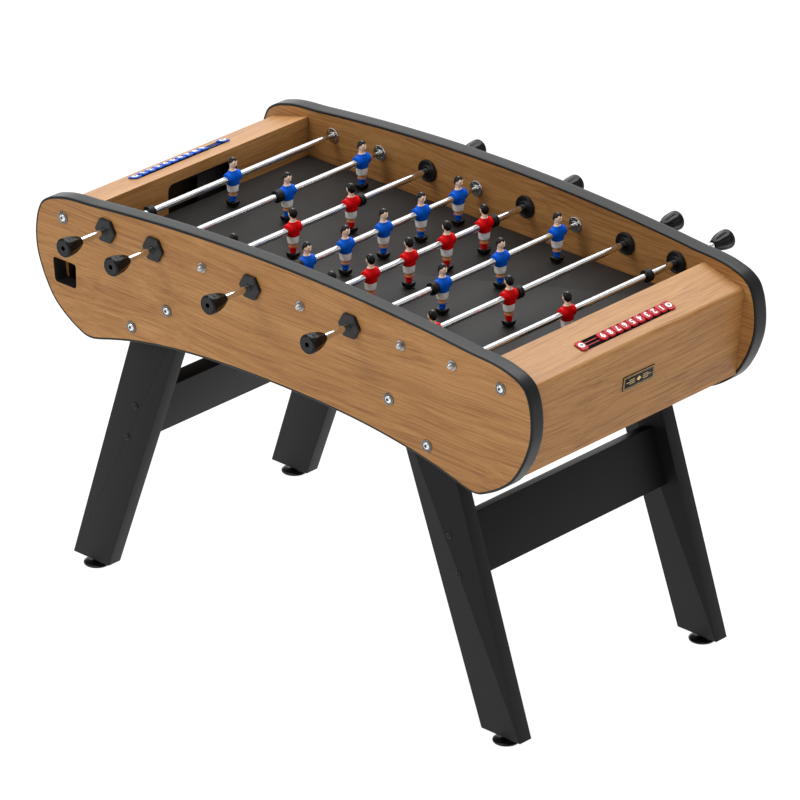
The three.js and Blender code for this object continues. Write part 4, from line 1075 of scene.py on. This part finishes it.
# a thin black plate under the rails, drawn as the shadow of a slot that the rails sit in: painted shadow
shadow_bed = plate(rectangle(-16, 16, RAIL_FROM - 4, RAIL_TO + 4, 2.0), 0.05, 0.6, 0.2, FACING_Z)
pads = []
washers = []
cross_shades = []
for end, start in ((-1, RAIL_FROM), (1, RAIL_TO)):
    inner_y, outer_y = start, start + end * PAD_LENGTH
    pad_y = (inner_y + outer_y) / 2
    corners = [
        (-PAD_HALF_WIDTH, inner_y), (-PAD_HALF_WIDTH, outer_y),
        (PAD_HALF_WIDTH, outer_y), (PAD_HALF_WIDTH, inner_y),
    ]
    pads.append(plate(rounded_loop(corners, 8, 5)[::end], 0.2, 4.2, 1.5, FACING_Z, 4))
    head = turned([(0, 4.0), (7.8, 4.0), (8.1, 4.4), (7.6, 5.0), (5.0, 5.3), (0, 5.5)], 32)
    washers.append(standing(head, 0, pad_y))
    # two black strokes of the cross, painted shade for the cross recess, one a hair higher so that their
    # tops don't lie in one plane
    for across, along, top in ((4.4, 1.1, SCREW_TOP + 0.6), (1.1, 4.4, SCREW_TOP + 0.61)):
        stroke = rectangle(-across, across, pad_y - along, pad_y + along, 0.3, 1)
        cross_shades.append(plate(stroke, SCREW_TOP, top, 0.05, FACING_Z, 1))
rail_paints = [0, 0] + [1] + [0, 0] + [2, 2] + [3] * len(cross_shades)
rail = join(rails + [shadow_bed] + pads + washers + cross_shades, rail_paints)

counter_red = mottled("moulded_red_counter", "#ad0a1c", "#9b0817", 3.0, 0.02, 0.3, Specular_IOR_Level=0.2)
counter_blue = mottled("moulded_blue_counter", "#0847ae", "#073e9c", 3.0, 0.02, 0.3, Specular_IOR_Level=0.2)
# matt black bed: painted shadow of the rails' slot
recess_painted_shadow = mottled("recess_painted_shadow_black", "#0b0908", "#070605", 1.0, 0.03, 0.8, Specular_IOR_Level=0.05)
print_white = mottled("white_pad_print", "#f2f0ee", "#e4e2e0", 2.0, 0.01, 0.4)
for team, finish, turned_round in (("red", counter_red, False), ("blue", counter_blue, True)):
    body, name, slot = f"counters_{team}", f"counters_{team}_numbered", f"{team}_counter"
    moving, fixed = on_slope(counters, COUNTER_LIFT), on_slope(rail)
    if turned_round:
        moving, fixed = half_turn(moving), half_turn(fixed)
    stands_for = [f"score_counters_{team}"]
    add_piece(name, body, moving, [finish, print_white], stands_for, crease=50)
    fittings = [finish, recess_painted_shadow, print_white, black_oxide_and_shade]
    add_piece(f"score_rail_{team}", "table", fixed, fittings, crease=40)

# ---- badge -----------------------------------------------------------------------------------
# A small black lacquered plate on the right-hand face, with a gilt border line and a plain gilt
# pattern of a lozenge between three bars on each side.
BADGE_WIDTH, BADGE_HEIGHT, BADGE_THICK = 104.0, 34.0, 2.0
_, badge_y, badge_z = middle("badge_plate")
half_wide, half_high = BADGE_WIDTH / 2, BADGE_HEIGHT / 2
plate_loop = rectangle(-half_wide, half_wide, -half_high, half_high, 3.0, 4)
badge_parts = [plate(plate_loop, 0.15, BADGE_THICK - 0.15, 0.5, FACING_X)]


def frame_line(depth, width, low, high):
    """A thin raised line that follows the plate's outline at a depth inside it."""
    profile = [(depth, low), (depth, high), (depth + width, high), (depth + width, low)]
    return swept_band(plate_loop, profile, FACING_X)


gilt_low, gilt_high = BADGE_THICK - 0.3, BADGE_THICK + 0.05
badge_parts.append(frame_line(1.8, 0.9, gilt_low, gilt_high))
badge_parts.append(frame_line(4.4, 0.5, gilt_low, gilt_high))
lozenge = rounded_loop([(-8, 0), (0, -6), (8, 0), (0, 6)], 0.8, 2)
badge_parts.append(plate(lozenge, gilt_low, gilt_high, 0.05, FACING_X, 1))
for side in (-1, 1):
    for k, length in ((-1, 18), (0, 28), (1, 18)):
        y0, y1 = sorted((side * 13, side * (13 + length)))
        bar_loop = rectangle(y0, y1, k * 4.6 - 0.8, k * 4.6 + 0.8, 0.5, 2)
        badge_parts.append(plate(bar_loop, gilt_low, gilt_high, 0.05, FACING_X, 1))
badge_lean = np.array(Matrix.Rotation(math.atan(LEAN), 3, "Y"))
badge = join(badge_parts, [0] + [1] * (len(badge_parts) - 1))
badge_at = (WALL_X + BASE_DEPTH + LEAN * (badge_z - CASE_FLOOR), badge_y, badge_z)
badge = (badge[0] @ badge_lean.T + badge_at, badge[1], badge[2])
lacquer = mottled("black_lacquer", "#090908", "#060605", 2.0, 0.01, 0.3, Specular_IOR_Level=0.1)
gilt = mottled("gilt_print", "#d9b878", "#c9a463", 2.0, 0.01, 0.4)
add_piece("badge_lacquered", "table", badge, [lacquer, gilt], ["badge_plate"])

# ---- floor, camera and light -----------------------------------------------------------------
# A white studio floor that glows softly, and a long lens from the front right. A large soft box
# hangs overhead, a lit wall stands behind and a smaller box in front. Lengths here are metres.
floor_finish, tree, shader = new_finish("studio_floor_paper", Roughness=0.9, Specular_IOR_Level=0.0)
place = add_node(tree, "ShaderNodeTexCoord").outputs["Object"]
paper = add_node(tree, "ShaderNodeTexNoise", {"Vector": place, "Scale": 3.0}).outputs["Fac"]
stops = [(0.3, linear("#5f5f5f")), (0.7, linear("#646464"))]
tone = add_node(tree, "ShaderNodeValToRGB", {0: paper}, stops=stops)
tree.links.new(tone.outputs[0], shader.inputs["Base Color"])
shader.inputs["Emission Color"].default_value = (1, 1, 1, 1)
shader.inputs["Emission Strength"].default_value = 0.97
floor_mesh = bpy.data.meshes.new("studio_floor")
FLOOR_HALF = 60.0
floor_corners = [(sx * FLOOR_HALF, sy * FLOOR_HALF, 0) for sx, sy in ((-1, -1), (1, -1), (1, 1), (-1, 1))]
floor_mesh.from_pydata(floor_corners, [], [[0, 1, 2, 3]])
floor_mesh.materials.append(floor_finish)
floor = bpy.data.objects.new("studio_floor", floor_mesh)
bpy.context.scene.collection.objects.link(floor)

CAMERA_TURN, CAMERA_RISE, CAMERA_AWAY = 0.748, 0.443, 14.314
CAMERA_TARGET = Vector((0.4994, -0.5254, 0.8511))
SENSOR, LENS = 36.0, 301.5
camera_data = bpy.data.cameras.new("camera")
camera_data.sensor_width = SENSOR
camera_data.lens = LENS
camera_data.clip_end = 200
camera = bpy.data.objects.new("camera", camera_data)
level = math.cos(CAMERA_RISE)
towards = (math.sin(CAMERA_TURN) * level, -math.cos(CAMERA_TURN) * level, math.sin(CAMERA_RISE))
camera_way = Vector(towards)
camera.location = CAMERA_TARGET + camera_way * CAMERA_AWAY
camera.rotation_euler = (-camera_way).to_track_quat("-Z", "Y").to_euler()
bpy.context.scene.collection.objects.link(camera)
bpy.context.scene.camera = camera


def soft_light(name, size, power, place, aim):
    """A square soft box at a place, turned towards a point."""
    data = bpy.data.lights.new(name, "AREA")
    data.size, data.energy = size, power
    light = bpy.data.objects.new(name, data)
    light.location = place
    light.rotation_euler = (Vector(aim) - Vector(place)).to_track_quat("-Z", "Y").to_euler()
    bpy.context.scene.collection.objects.link(light)


soft_light("overhead_box", 4.0, 225, (-0.7, 1.2, 4.6), (0, 0, 0.8))
soft_light("back_wall", 6.0, 100, (-4.5, 4.9, 3.0), (0, 0, 0.8))
soft_light("front_box", 2.5, 145, (-2.5, -5.5, 5.0), (0, 0, 0.8))

world = bpy.data.worlds.new("white_surround")
world.use_nodes = True
world.node_tree.nodes["Background"].inputs["Color"].default_value = (1, 1, 1, 1)
world.node_tree.nodes["Background"].inputs["Strength"].default_value = 0.58
bpy.context.scene.world = world
bpy.context.scene.view_settings.view_transform = "Standard"
